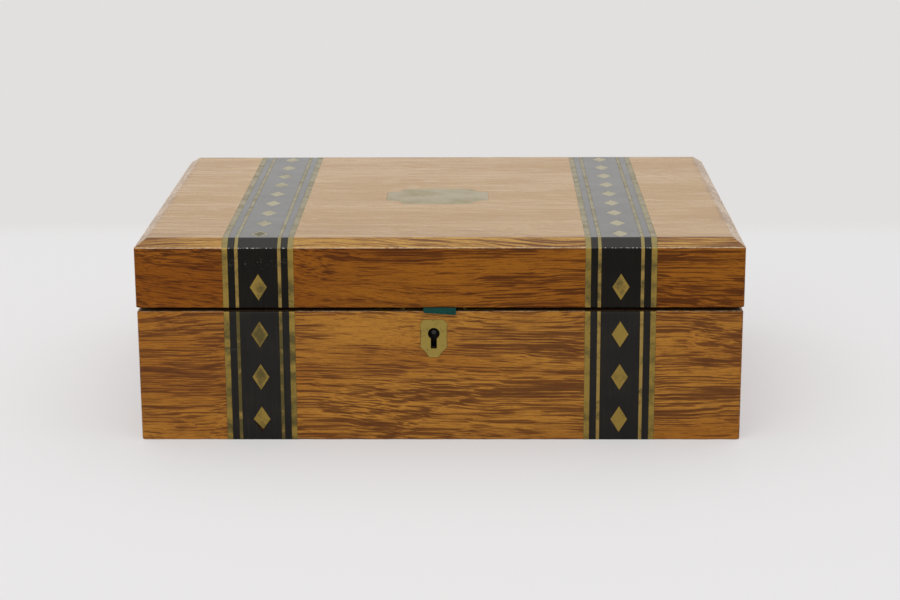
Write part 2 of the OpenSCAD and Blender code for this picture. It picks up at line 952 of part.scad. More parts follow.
module base_front_lining() {
    window_w = lock_plate_w + 2 * cloth_t;
    window_z = base_h - lock_plate_h - cloth_t;
    color("teal")
        difference() {
            long_lining(base_in_x, base_in_y, bottom_t + cloth_t, base_h - lining_drop);
            translate([lock_x - window_w / 2, -base_in_y - past, window_z])
                cube([window_w, cloth_t + 3 * past, base_h]);
        }
}

module base_back_lining() {
    color("teal")
        half_turn()
            long_lining(base_in_x, base_in_y, bottom_t + cloth_t, base_h - lining_drop);
}

module base_left_lining() {
    color("teal")
        short_lining(base_in_x, base_in_y, bottom_t + cloth_t, base_h - lining_drop);
}

module base_right_lining() {
    color("teal")
        half_turn()
            short_lining(base_in_x, base_in_y, bottom_t + cloth_t, base_h - lining_drop);
}

// Outline of the top panel across a width: upright up to the arris, then bevelled
function panel_section(w) = [
    [-w / 2, lid_arris],
    [w / 2, lid_arris],
    [w / 2 - bevel_in, lid_top],
    [-w / 2 + bevel_in, lid_top]
];

module lid_top_panel() {
    tongue_x = lid_in_x - glue_gap;
    tongue_y = lid_in_y - glue_gap;
    color("peru")
        difference() {
            union() {
                intersection() {
                    run_across(-box_w / 2, box_w / 2, panel_section(box_d));
                    facing_front(-box_d / 2, box_d / 2)
                        polygon(panel_section(box_w));
                    translate([0, 0, lid_arris])
                        linear_extrude(bevel_rise)
                            rounded_2d(box_w, box_d);
                }
                translate([-tongue_x, -tongue_y, lid_ceiling])
                    cube([2 * tongue_x, 2 * tongue_y, panel_tongue]);
            }
            lid_strap_cut();
            translate([0, 0, lid_top - cartouche_t])
                linear_extrude(cartouche_t + past)
                    cartouche_2d(inlay_gap);
        }
}

module lid_front_board() {
    link_w = link_plate_w + 2 * inlay_gap;
    color("peru")
        difference() {
            mitred_long(box_w, box_d, lid_z, lid_arris);
            lid_strap_cut();
            translate([lock_x - link_w / 2, link_plate_front - inlay_gap, lid_z - past])
                cube([link_w, wall_t, lock_plate_t + past]);
            at_link_screws()
                screw_hole();
        }
}

module lid_back_board() {
    color("peru")
        difference() {
            half_turn()
                mitred_long(box_w, box_d, lid_z, lid_arris);
            lid_stop_cut();
            lid_hinge_cut(-hinge_x);
            lid_hinge_cut(hinge_x);
        }
}

module lid_left_board() {
    color("peru")
        difference() {
            mitred_short(box_w, box_d, lid_z, lid_arris);
            lid_stop_cut();
        }
}

module lid_right_board() {
    color("peru")
        difference() {
            half_turn()
                mitred_short(box_w, box_d, lid_z, lid_arris);
            lid_stop_cut();
        }
}

module lid_front_outer_brass_lines() {
    color("darkgoldenrod")
        strap_lines(ebony_half, strap_half, [lid_front_skin]);
}

module lid_front_ebony_lines() {
    color([0.13, 0.12, 0.1])
        strap_lines(inner_half, ebony_half, [lid_front_skin]);
}

module lid_front_inner_brass_lines() {
    color("darkgoldenrod")
        strap_lines(panel_half, inner_half, [lid_front_skin]);
}

module lid_front_ebony_panels() {
    color([0.13, 0.12, 0.1])
        difference() {
            strap_panels([lid_front_skin]);
            front_lozenges(lid_front - past, lid_front + inlay_t + past,
                [lid_z + lid_lozenge_up], inlay_gap);
        }
}

module lid_front_brass_lozenges() {
    color("goldenrod")
        front_lozenges(lid_front, lid_front + inlay_t, [lid_z + lid_lozenge_up], 0);
}

module lid_bevel_outer_brass_lines() {
    color("darkgoldenrod")
        strap_lines(ebony_half, strap_half, [front_bevel_skin, back_bevel_skin]);
}

module lid_bevel_ebony_lines() {
    color([0.13, 0.12, 0.1])
        strap_lines(inner_half, ebony_half, [front_bevel_skin, back_bevel_skin]);
}

module lid_bevel_inner_brass_lines() {
    color("darkgoldenrod")
        strap_lines(panel_half, inner_half, [front_bevel_skin, back_bevel_skin]);
}

module lid_bevel_ebony_panels() {
    color([0.13, 0.12, 0.1])
        strap_panels([front_bevel_skin, back_bevel_skin]);
}

module lid_top_outer_brass_lines() {
    color("darkgoldenrod")
        strap_lines(ebony_half, strap_half, [lid_top_skin]);
}

module lid_top_ebony_lines() {
    color([0.13, 0.12, 0.1])
        strap_lines(inner_half, ebony_half, [lid_top_skin]);
}

module lid_top_inner_brass_lines() {
    color("darkgoldenrod")
        strap_lines(panel_half, inner_half, [lid_top_skin]);
}

module lid_top_ebony_panels() {
    color([0.13, 0.12, 0.1])
        difference() {
            strap_panels([lid_top_skin]);
            top_lozenge_set(lid_top - inlay_t - past, lid_top + past, inlay_gap);
        }
}

module lid_top_brass_lozenges() {
    color("goldenrod")
        top_lozenge_set(lid_top - inlay_t, lid_top, 0);
}

// Plate with hollow corners, grown by g
module cartouche_2d(g) {
    w = cartouche_w / 2;
    d = cartouche_d / 2;
    translate([cartouche_x, lid_front + cartouche_back])
        difference() {
            square([2 * (w + g), 2 * (d + g)], center = true);
            for (x = [-w, w], y = [-d, d])
                translate([x, y])
                    circle(r = cartouche_corner - g);
        }
}

module cartouche() {
    color("tan")
        translate([0, 0, lid_top - cartouche_t])
            linear_extrude(cartouche_t)
                cartouche_2d(0);
}

module hinge_left_lid_leaf() {
    color("darkgoldenrod")
        lid_leaf(-hinge_x);
}

module hinge_right_lid_leaf() {
    color("darkgoldenrod")
        lid_leaf(hinge_x);
}

module hinge_lid_screws() {
    color("goldenrod") {
        at_lid_leaf_screws(-hinge_x)
            wood_screw();
        at_lid_leaf_screws(hinge_x)
            wood_screw();
    }
}

// Outline of a staple from the side, hanging from the link plate, eye through it
module staple_2d() {
    r = staple_w / 2;
    drop = seam_gap + staple_l;
    difference() {
        union() {
            translate([-r, -drop + r])
                square([staple_w, drop - r]);
            translate([0, -drop + r])
                circle(r = r);
        }
        translate([-eye_w / 2, -seam_gap - eye_bottom])
            square([eye_w, eye_h]);
    }
}

module link_plate() {
    color("goldenrod")
        difference() {
            union() {
                translate([lock_x - link_plate_w / 2, link_plate_front, lid_z])
                    cube([link_plate_w, -lid_in_y - link_plate_front, lock_plate_t]);
                for (side = [-1, 1])
                    translate([lock_x + side * staple_x - staple_t / 2, bolt_y, lid_z])
                        rotate([90, 0, 90])
                            linear_extrude(staple_t)
                                staple_2d();
            }
            at_link_screws()
                screw_hole();
        }
}

module link_screws() {
    color("goldenrod")
        at_link_screws()
            wood_screw();
}

module lid_ceiling_lining() {
    color("teal")
        translate([-lid_in_x + cloth_gap, -lid_in_y + cloth_gap, lid_ceiling - cloth_t])
            cube([2 * (lid_in_x - cloth_gap), 2 * (lid_in_y - cloth_gap), cloth_t]);
}

module lid_front_lining() {
    color("teal")
        long_lining(lid_in_x, lid_in_y, lid_z + lining_drop, lid_ceiling - cloth_t);
}

module lid_back_lining() {
    color("teal")
        half_turn()
            long_lining(lid_in_x, lid_in_y, lid_z + lining_drop, lid_ceiling - cloth_t);
}

module lid_left_lining() {
    color("teal")
        short_lining(lid_in_x, lid_in_y, lid_z + lining_drop, lid_ceiling - cloth_t);
}

module lid_right_lining() {
    color("teal")
        half_turn()
            short_lining(lid_in_x, lid_in_y, lid_z + lining_drop, lid_ceiling - cloth_t);
}

// Cloth tab glued under the lid's front, bent down over the base's edge
module pull_tab() {
    bend_y = lid_front - tab_out + tab_bend;
    color("teal")
        translate([lock_x + tab_x - tab_w / 2, 0, 0])
            rotate([90, 0, 90])
                linear_extrude(tab_w) {
                    translate([bend_y, lid_z - tab_t])
                        square([-lid_in_y - bend_y, tab_t]);
                    translate([lid_front - tab_out, lid_z - tab_drop])
                        square([tab_t, tab_drop - tab_bend]);
                    intersection() {
                        translate([bend_y, lid_z - tab_bend])
                            difference() {
                                circle(r = tab_bend);
                                circle(r = tab_bend - tab_t);
                            }
                        translate([bend_y - tab_bend, lid_z - tab_bend])
                            square([tab_bend, tab_bend]);
                    }
                }
}

base_front_board();
base_back_board();
base_left_board();
base_right_board();
base_bottom_board();
base_outer_brass_lines();
base_ebony_lines();
base_inner_brass_lines();
base_ebony_panels();
base_brass_lozenges();
escutcheon();
lock_plate();
lock_case();
lock_drill_pin();
lock_guide_posts();
lock_spring();
lock_bolt();
lock_screws();
hinge_left_base_leaf();
hinge_right_base_leaf();
hinge_left_pin();
hinge_right_pin();
hinge_base_screws();
base_floor_lining();
base_front_lining();
base_back_lining();
base_left_lining();
base_right_lining();
lid_top_panel();
lid_front_board();
lid_back_board();
lid_left_board();
lid_right_board();
lid_front_outer_brass_lines();
lid_front_ebony_lines();
lid_front_inner_brass_lines();
lid_front_ebony_panels();
lid_front_brass_lozenges();
lid_bevel_outer_brass_lines();
lid_bevel_ebony_lines();
lid_bevel_inner_brass_lines();
lid_bevel_ebony_panels();
lid_top_outer_brass_lines();
lid_top_ebony_lines();
lid_top_inner_brass_lines();
lid_top_ebony_panels();
lid_top_brass_lozenges();
cartouche();
hinge_left_lid_leaf();
hinge_right_lid_leaf();
hinge_lid_screws();
link_plate();
link_screws();
lid_ceiling_lining();
lid_front_lining();
lid_back_lining();
lid_left_lining();
lid_right_lining();
pull_tab();
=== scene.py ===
"""Looks of an oak stationery box with brass and ebony straps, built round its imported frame.

Everything is in metres, in the frame's axes: +X to the right, +Y towards the hinged back, +Z up.
"""

import logging
import math
from dataclasses import dataclass, field
from enum import Enum
from typing import Sequence

import bpy
import numpy as np
from mathutils import Matrix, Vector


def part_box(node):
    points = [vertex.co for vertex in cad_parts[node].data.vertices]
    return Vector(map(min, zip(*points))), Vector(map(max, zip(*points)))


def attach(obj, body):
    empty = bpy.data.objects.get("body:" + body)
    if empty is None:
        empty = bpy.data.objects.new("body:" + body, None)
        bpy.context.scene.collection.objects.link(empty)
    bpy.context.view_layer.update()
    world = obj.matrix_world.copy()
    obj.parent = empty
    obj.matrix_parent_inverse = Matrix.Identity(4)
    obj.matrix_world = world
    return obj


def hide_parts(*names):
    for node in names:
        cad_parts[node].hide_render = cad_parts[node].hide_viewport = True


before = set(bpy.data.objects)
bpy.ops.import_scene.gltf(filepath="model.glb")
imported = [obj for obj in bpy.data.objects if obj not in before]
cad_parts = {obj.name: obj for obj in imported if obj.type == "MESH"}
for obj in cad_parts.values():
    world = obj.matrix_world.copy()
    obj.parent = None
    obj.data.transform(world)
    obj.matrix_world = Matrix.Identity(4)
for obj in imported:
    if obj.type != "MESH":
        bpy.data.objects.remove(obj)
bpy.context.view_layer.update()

LOG = logging.getLogger("box")
Array = np.ndarray
Colour = tuple[float, float, float]
Window = tuple[float, float, float, float]
MM = 0.001
# Half the gap between the two grid lines where a surface steps.
HAIR = 0.01 * MM
# Least gap between an even grid line and an exact one, as a share of the pitch.
CLEAR_SHARE = 0.35
# Grid lines are rounded to this many decimals of a metre.
DECIMALS = 8
# Play round fittings that are let into the boards.
PLAY = 0.2 * MM


class Body(Enum):
    """The rigid bodies that rebuilt pieces ride on."""

    BASE = "base"
    LID = "lid"


class Side(Enum):
    """A side of the box, with the turn in quarter circles from the front."""

    FRONT = 0
    RIGHT = 1
    BACK = 2
    LEFT = 3

    @property
    def long(self) -> bool:
        """Whether the side runs along X."""
        return self in (Side.FRONT, Side.BACK)


class Grain(Enum):
    """The axis that a board's grain runs along."""

    ALONG_X = "x"
    ALONG_Y = "y"


def low(node: str) -> Array:
    """Lowest corner of a CAD node."""
    return np.array(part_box(node)[0])


def high(node: str) -> Array:
    """Highest corner of a CAD node."""
    return np.array(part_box(node)[1])


def size(node: str) -> Array:
    """Size of a CAD node along each axis."""
    return high(node) - low(node)


def middle(node: str) -> Array:
    """Middle of a CAD node's box."""
    return (low(node) + high(node)) / 2


def ease(t: Array) -> Array:
    """Smooth step: 3t^2 - 2t^3, with t held between 0 and 1."""
    t = np.clip(t, 0, 1)
    return t * t * (3 - 2 * t)


def ripple(t: Array, seed: int, pitch: float, waves: int = 7) -> Array:
    """A seeded wander between about -1 and 1: a sum of sines over the root of their number.

    Args:
        t: Places along a line, in metres.
        seed: Picks the pitches and starts.
        pitch: Longest wavelength, in metres; the shortest is a sixth of it.
        waves: How many sines are summed.

    Returns:
        One value for each place.
    """
    rng = np.random.default_rng(seed)
    rates = rng.uniform(1, 6, waves) / pitch
    starts = rng.uniform(0, 2 * np.pi, waves)
    angles = 2 * np.pi * np.multiply.outer(np.asarray(t, float), rates) + starts
    return np.sin(angles).sum(-1) / math.sqrt(waves)


def lengths(line: Array) -> Array:
    """How far along a line each of its points lies: a running sum of its steps."""
    return np.concatenate([[0], np.cumsum(np.linalg.norm(np.diff(line, axis=0), axis=1))])


def lines(start: float, end: float, pitch: float, steps: Sequence[float] = (),
          marks: Sequence[float] = ()) -> Array:
    """Grid lines between two places, evenly spread, with exact lines where something happens.

    Args:
        start: First line.
        end: Last line.
        pitch: Spacing of the even lines; one that is too near an exact line is left out.
        steps: Places where the surface steps, which get two lines a hair apart.
        marks: Places that get one exact line.

    Returns:
        The sorted lines.
    """
    hairs = [s + d for s in steps for d in (-HAIR, HAIR)]
    exact = np.array([start, end, *(p for p in (*hairs, *marks) if start < p < end)])
    even = np.linspace(start, end, max(2, round((end - start) / pitch)) + 1)
    far = np.abs(even[:, None] - exact[None]).min(1) > CLEAR_SHARE * pitch
    return np.unique(np.round(np.concatenate([even[far], exact]), DECIMALS))


def middles(grid: Array) -> Array:
    """The middles of a grid's cells along one axis."""
    return (grid[1:] + grid[:-1]) / 2


def outside(us: Array, vs: Array, window: Window) -> Array:
    """Which cells of a grid have their middle outside a window, given as two spans."""
    u, v = middles(us), middles(vs)
    u0, u1, v0, v1 = window
    return ~np.multiply.outer((u > u0) & (u < u1), (v > v0) & (v < v1))


def off_window(u: Array, v: Array, window: Window) -> Array:
    """How far points lie outside a window, by the larger of both ways; negative inside."""
    u0, u1, v0, v1 = window
    return np.maximum(np.maximum(u0 - u, u - u1), np.maximum(v0 - v, v - v1))


@dataclass
class Shape:
    """Points and faces of a closed surface, with named values at its points."""

    points: Array
    faces: list[list[int]]
    values: dict[str, Array] = field(default_factory=dict)

    def outwards(self) -> "Shape":
        """Turns every face if the volume is negative: the sum of p . (q x r) over triangles."""
        total = 0.0
        for size in {len(f) for f in self.faces}:
            f = self.points[np.array([g for g in self.faces if len(g) == size])]
            for k in range(1, size - 1):
                total += np.einsum("ij,ij->", f[:, 0], np.cross(f[:, k], f[:, k + 1]))
        if total < 0:
            self.faces = [f[::-1] for f in self.faces]
        return self


def joined(shapes: Sequence[Shape]) -> Shape:
    """Several closed surfaces as one, each turned to point out first."""
    starts = np.cumsum([0, *(len(s.points) for s in shapes)]).tolist()
    faces = [[i + n for i in f] for s, n in zip(shapes, starts) for f in s.outwards().faces]
    names = set().union(*(s.values for s in shapes))
    values = {
        name: np.concatenate([s.values.get(name, np.zeros(len(s.points))) for s in shapes])
        for name in names
    }
    return Shape(np.concatenate([s.points for s in shapes]), faces, values)


def loft(rings: Array, values: dict[str, Array] | None = None, capped: bool = True) -> Shape:
    """Closed rings of points, one after another, each joined to the next.

    Args:
        rings: Points of shape (rings, points in a ring, 3).
        values: Named values of shape (rings, points in a ring), or one value for each ring.
        capped: True puts a face over the first and last ring, False joins them to each other.

    Returns:
        The closed surface.
    """
    n, m, _ = rings.shape
    i, j = np.meshgrid(np.arange(n - 1 if capped else n), np.arange(m), indexing="ij")
    i, j = i.ravel(), j.ravel()
    up, on = (i + 1) % n, (j + 1) % m
    faces = np.stack([i * m + j, i * m + on, up * m + on, up * m + j], 1).tolist()
    if capped:
        faces += [list(range(m))[::-1], list(range((n - 1) * m, n * m))]
    flat = {}
    for key, value in (values or {}).items():
        value = np.asarray(value, float)
        flat[key] = np.broadcast_to(value[:, None] if value.ndim == 1 else value, (n, m)).ravel()
    return Shape(rings.reshape(-1, 3), faces, flat)


def plate(
    outer: Array,
    inner: Array,
    keep: Array | None = None,
    values: dict[str, tuple[Array, Array]] | None = None,
    split: Array | None = None,
) -> Shape:
    """Two grids of points, one for each face of a board, joined by walls along every open edge.

    Args:
        outer: Points of one face, of shape (nu, nv, 3).
        inner: Points of the other face, of the same shape.
        keep: Which of the (nu - 1) x (nv - 1) cells are solid; the others are holes.
        values: Named values of the outer and inner points.
        split: 1 or 2 where an outer cell is cut along its first or second diagonal.

    Returns:
        The closed surface.
    """
    nu, nv, _ = outer.shape
    n = nu * nv
    keep = np.ones((nu - 1, nv - 1), bool) if keep is None else keep
    split = np.zeros((nu - 1, nv - 1), int) if split is None else split
    index = np.arange(n).reshape(nu, nv)
    i, j = np.nonzero(keep)
    cells = np.stack([index[i, j], index[i + 1, j], index[i + 1, j + 1], index[i, j + 1]], 1)
    way = split[i, j]
    triangles = np.concatenate([
        cells[way == 1][:, [0, 1, 2]], cells[way == 1][:, [0, 2, 3]],
        cells[way == 2][:, [0, 1, 3]], cells[way == 2][:, [1, 2, 3]],
    ])
    quads = [cells[way == 0], cells[:, ::-1] + n]
    solid = np.pad(keep, 1)
    near, far = solid[1:-1, :-1], solid[1:-1, 1:]
    left, right = solid[:-1, 1:-1], solid[1:, 1:-1]
    for open_edges, turn, du, dv in (
        (far & ~near, True, 1, 0), (near & ~far, False, 1, 0),
        (right & ~left, False, 0, 1), (left & ~right, True, 0, 1),
    ):
        i, j = np.nonzero(open_edges)
        a, b = index[i, j], index[i + du, j + dv]
        a, b = (b, a) if turn else (a, b)
        quads.append(np.stack([a, b, b + n, a + n], 1))
    quads = np.concatenate(quads)
    used, where = np.unique(np.concatenate([quads.ravel(), triangles.ravel()]), return_inverse=True)
    faces = where[:quads.size].reshape(-1, 4).tolist() + where[quads.size:].reshape(-1, 3).tolist()
    points = np.concatenate([outer.reshape(-1, 3), inner.reshape(-1, 3)])[used]
    flat = {key: np.concatenate([a.ravel(), b.ravel()])[used]
            for key, (a, b) in (values or {}).items()}
    return Shape(points, faces, flat)


def on_side(side: Side, half: float, u: Array, depth: Array, z: Array) -> Array:
    """Points on a side of the box, turned from the front by quarter turns: x = u, y = depth - half.

    Args:
        side: The side.
        half: Distance from the box's middle to that side's outer face.
        u: Places along the side, which run along +X on the front.
        depth: Distances behind the outer face.
        z: Heights.

    Returns:
        Points of shape (..., 3).
    """
    x, y = u, depth - half
    for _ in range(side.value):
        x, y = -y, x
    return np.stack(np.broadcast_arrays(x, y, z), -1)


def star(outline: Array, centre: Sequence[float], angles: Array) -> Array:
    """Where rays from a centre meet an outline: on edge p + s e, ray d has s = -(d x p) / (d x e).

    Args:
        outline: Corners of the outline, of shape (corners, 2).
        centre: A point that sees the whole outline.
        angles: Directions of the rays, in radians.

    Returns:
        One point for each ray.
    """
    slack = 1e-6
    p = outline - np.asarray(centre)
    e = np.roll(p, -1, 0) - p
    d = np.stack([np.cos(angles), np.sin(angles)], 1)
    dx, dy = d[:, :1], d[:, 1:]
    with np.errstate(divide="ignore", invalid="ignore"):
        s = -(dx * p[:, 1] - dy * p[:, 0]) / (dx * e[:, 1] - dy * e[:, 0])
        reach = dx * (p[:, 0] + s * e[:, 0]) + dy * (p[:, 1] + s * e[:, 1])
        reach = np.where((s > -slack) & (s < 1 + slack) & np.isfinite(reach), reach, -1)
    return np.asarray(centre) + d * reach.max(1)[:, None]


def nested(steps: Sequence[tuple[Array, float]], eye: Sequence[float]) -> Array:
    """Outlines at their levels, all met by the same rays, so that they can be joined by a loft.

    The rays go from the eye to every corner of the outlines, with even ones between.

    Args:
        steps: Each outline, of shape (corners, 2), with its level.
        eye: A point that sees all of every outline.

    Returns:
        Rings of points (u, v, level), of shape (outlines, rays, 3).
    """
    even_rays, clear, decimals = 96, 0.02, 6
    corners = np.concatenate([outline for outline, _ in steps]) - np.asarray(eye)
    exact = np.arctan2(corners[:, 1], corners[:, 0])
    even = np.linspace(-np.pi, np.pi, even_rays + 1)[1:]
    far = np.abs(even[:, None] - exact[None]).min(1) > clear
    angles = np.unique(np.round(np.concatenate([even[far], exact]), decimals))
    return np.stack([
        np.column_stack([star(outline, eye, angles), np.full(len(angles), level)])
        for outline, level in steps
    ])


def rectangle(x0: float, x1: float, y0: float, y1: float) -> Array:
    """Corners of a rectangle, against the clock."""
    return np.array([[x0, y0], [x1, y0], [x1, y1], [x0, y1]])


def link(name: str, data: bpy.types.ID) -> bpy.types.Object:
    """Adds an object that holds some data to the scene."""
    made = bpy.data.objects.new(name, data)
    bpy.context.scene.collection.objects.link(made)
    return made


def aim(item: bpy.types.Object, axes: Sequence[Array], place: Sequence[float]) -> None:
    """Moves an object to a place, with its own three axes along the given ones."""
    turned = np.eye(4)
    turned[:3, :3] = np.stack(axes, 1)
    turned[:3, 3] = place
    item.matrix_world = Matrix(turned.tolist())


def add_piece(name: str, shapes: Sequence[Shape], finish: "Finish", body: Body,
              sharp: float = 32) -> bpy.types.Object:
    """Makes shapes one piece of the scene, in place of the CAD node of the same name.

    Args:
        name: The name of the piece and of its CAD node.
        shapes: Closed surfaces, in place.
        finish: The finish.
        body: The body that the piece rides on.
        sharp: Angle in degrees past which an edge stays sharp.

    Returns:
        The piece's object.
    """
    shape = joined(shapes)
    mesh = bpy.data.meshes.new(name)
    mesh.from_pydata(shape.points.tolist(), [], shape.faces)
    for key, value in shape.values.items():
        held = mesh.attributes.new(key, "FLOAT", "POINT")
        held.data.foreach_set("value", value.astype(np.float32))
    mesh.shade_smooth()
    mesh.set_sharp_from_angle(angle=math.radians(sharp))
    mesh.validate()
    piece = link(name, mesh)
    finish.dress(piece)
    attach(piece, body.value)
    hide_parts(name)
    LOG.info("%s: %d points on %s", name, len(shape.points), body.value)
    return piece


def dress_node(node: str, finish: "Finish", edge: float = 0.12 * MM) -> None:
    """Gives a CAD node a finish, clears its flat faces of needless edges and breaks the sharp ones.

    Args:
        node: The CAD node.
        finish: Its finish.
        edge: Width of the broken edge.
    """
    flat, blunt = math.radians(0.5), math.radians(35)
    bevel = {"width": edge, "segments": 2, "limit_method": "ANGLE", "angle_limit": blunt}
    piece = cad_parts[node]
    finish.dress(piece)
    for kind, settings in (
        ("WELD", {"merge_threshold": 0.002 * MM}),
        ("DECIMATE", {"decimate_type": "DISSOLVE", "angle_limit": flat}),
        ("BEVEL", bevel),
    ):
        modifier = piece.modifiers.new(kind.lower(), kind)
        for key, value in settings.items():
            setattr(modifier, key, value)
    LOG.info("%s: CAD node in %s", node, finish.name)


class Sock:
    """One value in a material, whose operators add Math nodes."""

    def __init__(self, graph: "Graph", socket: bpy.types.NodeSocket) -> None:
        """Wraps an output socket of a graph."""
        self.graph = graph
        self.socket = socket

    def _math(self, operation: str, *values: "Sock | float") -> "Sock":
        """Adds a Math node on these values."""
        return self.graph.node("ShaderNodeMath", dict(enumerate(values)), operation=operation)

    def __add__(self, other: "Sock | float") -> "Sock":
        """self + other."""
        return self._math("ADD", self, other)

    __radd__ = __add__

    def __sub__(self, other: "Sock | float") -> "Sock":
        """self - other."""
        return self._math("SUBTRACT", self, other)

    def __rsub__(self, other: "Sock | float") -> "Sock":
        """other - self."""
        return self._math("SUBTRACT", other, self)

    def __mul__(self, other: "Sock | float") -> "Sock":
        """self * other."""
        return self._math("MULTIPLY", self, other)

    __rmul__ = __mul__

    def __abs__(self) -> "Sock":
        """Size of self without its sign."""
        return self._math("ABSOLUTE", self)

    def least(self, other: "Sock | float") -> "Sock":
        """The smaller of two values."""
        return self._math("MINIMUM", self, other)

    def most(self, other: "Sock | float") -> "Sock":
        """The larger of two values."""
        return self._math("MAXIMUM", self, other)

    def step(self, start: float, end: float) -> "Sock":
        """A smooth step from 0 at start to 1 at end."""
        inputs = {"Value": self, "From Min": start, "From Max": end}
        return self.graph.node("ShaderNodeMapRange", inputs, interpolation_type="SMOOTHSTEP")


class Graph:
    """The nodes of one material or world, from an empty tree."""

    def __init__(self, owner: "bpy.types.Material | bpy.types.World") -> None:
        """Empties the owner's tree."""
        owner.use_nodes = True
        self.tree = owner.node_tree
        self.tree.nodes.clear()

    def feed(self, socket: bpy.types.NodeSocket, value: object) -> None:
        """Links a Sock to an input, or sets the input to a plain value."""
        if isinstance(value, Sock):
            self.tree.links.new(value.socket, socket)
        elif isinstance(value, tuple) and len(value) == 3 and len(socket.default_value) == 4:
            socket.default_value = (*value, 1)
        else:
            socket.default_value = value

    def node(self, kind: str, inputs: dict | None = None, output: int | str = 0,
             **settings: object) -> Sock:
        """Adds any node.

        Args:
            kind: The node's type.
            inputs: Values or Socks by input name or number.
            output: Name or number of the output that is returned.
            **settings: The node's properties, set before its inputs.

        Returns:
            That output.
        """
        made = self.tree.nodes.new(kind)
        for key, value in settings.items():
            setattr(made, key, value)
        for key, value in (inputs or {}).items():
            self.feed(made.inputs[key], value)
        return Sock(self, made.outputs[output])

    def seen(self) -> Sock:
        """1 for rays that the eye, gloss or glass sends out, 0 for the light's own."""
        rays = self.node("ShaderNodeLightPath").socket.node
        kinds = ("Camera", "Glossy", "Transmission")
        eye, gloss, glass = (Sock(self, rays.outputs[f"Is {kind} Ray"]) for kind in kinds)
        return eye + gloss + glass

    def place(self) -> tuple[Sock, Sock, Sock]:
        """The three parts of the point's place in the frame."""
        place = self.node("ShaderNodeTexCoord", output="Object")
        split = self.node("ShaderNodeSeparateXYZ", {0: place}).socket.node
        return tuple(Sock(self, split.outputs[i]) for i in range(3))

    def value(self, name: str) -> Sock:
        """A value that the piece holds at its points."""
        return self.node("ShaderNodeAttribute", output="Fac", attribute_name=name)

    def noise(self, place: Sequence[Sock], rates: float | Sequence[float], detail: float = 2,
              rough: float = 0.5, shift: Sequence[float] = (0, 0, 0)) -> Sock:
        """Soft noise from 0 to 1 in three dimensions.

        Args:
            place: The three parts of the place where it is read.
            rates: How fast it runs along each part, per metre: one for all, or three.
            detail: Number of finer octaves.
            rough: Strength of those octaves.
            shift: What each part is shifted by, after the rates.

        Returns:
            The noise.
        """
        rates = [rates] * 3 if isinstance(rates, (int, float)) else rates
        scaled = [part * rate for part, rate in zip(place, rates)]
        scaled = [part + more if more else part for part, more in zip(scaled, shift)]
        vector = self.node("ShaderNodeCombineXYZ", dict(enumerate(scaled)))
        inputs = {"Vector": vector, "Scale": 1, "Detail": detail, "Roughness": rough}
        return self.node("ShaderNodeTexNoise", inputs, noise_dimensions="3D")

    def mix(self, amount: Sock | float, a: Sock | Colour, b: Sock | Colour) -> Sock:
        """Colour a turned to b by an amount."""
        return self.node("ShaderNodeMix", {0: amount, 6: a, 7: b}, 2, data_type="RGBA")

    def bump(self, height: Sock, distance: float, strength: float) -> Sock:
        """A normal that rises and falls with a height."""
        inputs = {"Height": height, "Distance": distance, "Strength": strength}
        return self.node("ShaderNodeBump", inputs)

    def surface(self, **inputs: object) -> None:
        """Adds the shader with its inputs; an underscore in a name stands for a space."""
        named = {key.replace("_", " "): value for key, value in inputs.items()}
        self.end(self.node("ShaderNodeBsdfPrincipled", named), "ShaderNodeOutputMaterial")

    def end(self, shader: Sock, kind: str) -> None:
        """Links a shader to a new output node of some kind."""
        self.tree.links.new(shader.socket, self.tree.nodes.new(kind).inputs["Surface"])


@dataclass(frozen=True)
class Finish:
    """A finish: its name, and a slot name that is not used."""

    name: str
    slot: str

    def paint(self, graph: Graph) -> None:
        """Fills in the material's nodes."""
        raise NotImplementedError

    def material(self) -> bpy.types.Material:
        """The finish's one material, made at first use."""
        name = f"{self.name}_finish"
        found = bpy.data.materials.get(name)
        if found is None:
            found = bpy.data.materials.new(name)
            self.paint(Graph(found))
        return found

    def dress(self, piece: bpy.types.Object) -> None:
        """Gives a piece this material and no other."""
        piece.data.materials.clear()
        piece.data.materials.append(self.material())


class Figure(Enum):
    """Noises of the oak's figure, drawn out along the grain.

    Each has its rates per metre along and across the grain, its detail and roughness, and which
    part of the place a board's drift shifts: 0 is along the grain, 2 the height, None no part.
    """

    SWAY = (8, 18, 1, 0.5, 0)
    SWELL = (3, 9, 0, 0.5, 2)
    KINK = (50, 110, 1, 0.5, 2)
    FIBRE = (21, 1080, 1.2, 0.5, 0)
    THREAD = (80, 1900, 1, 0.5, 2)
    PORE = (330, 3400, 0, 0.5, None)
    BAND = (10, 150, 2, 0.6, 2)
    BROAD = (5, 26, 1, 0.5, None)
    CALM = (4.5, 24, 1, 0.5, 2)


@dataclass(frozen=True)
class Patch:
    """An oval with more streaks, or fewer if more is below 0: its middle and half sizes."""

    x: float
    z: float
    rx: float
    rz: float
    more: float


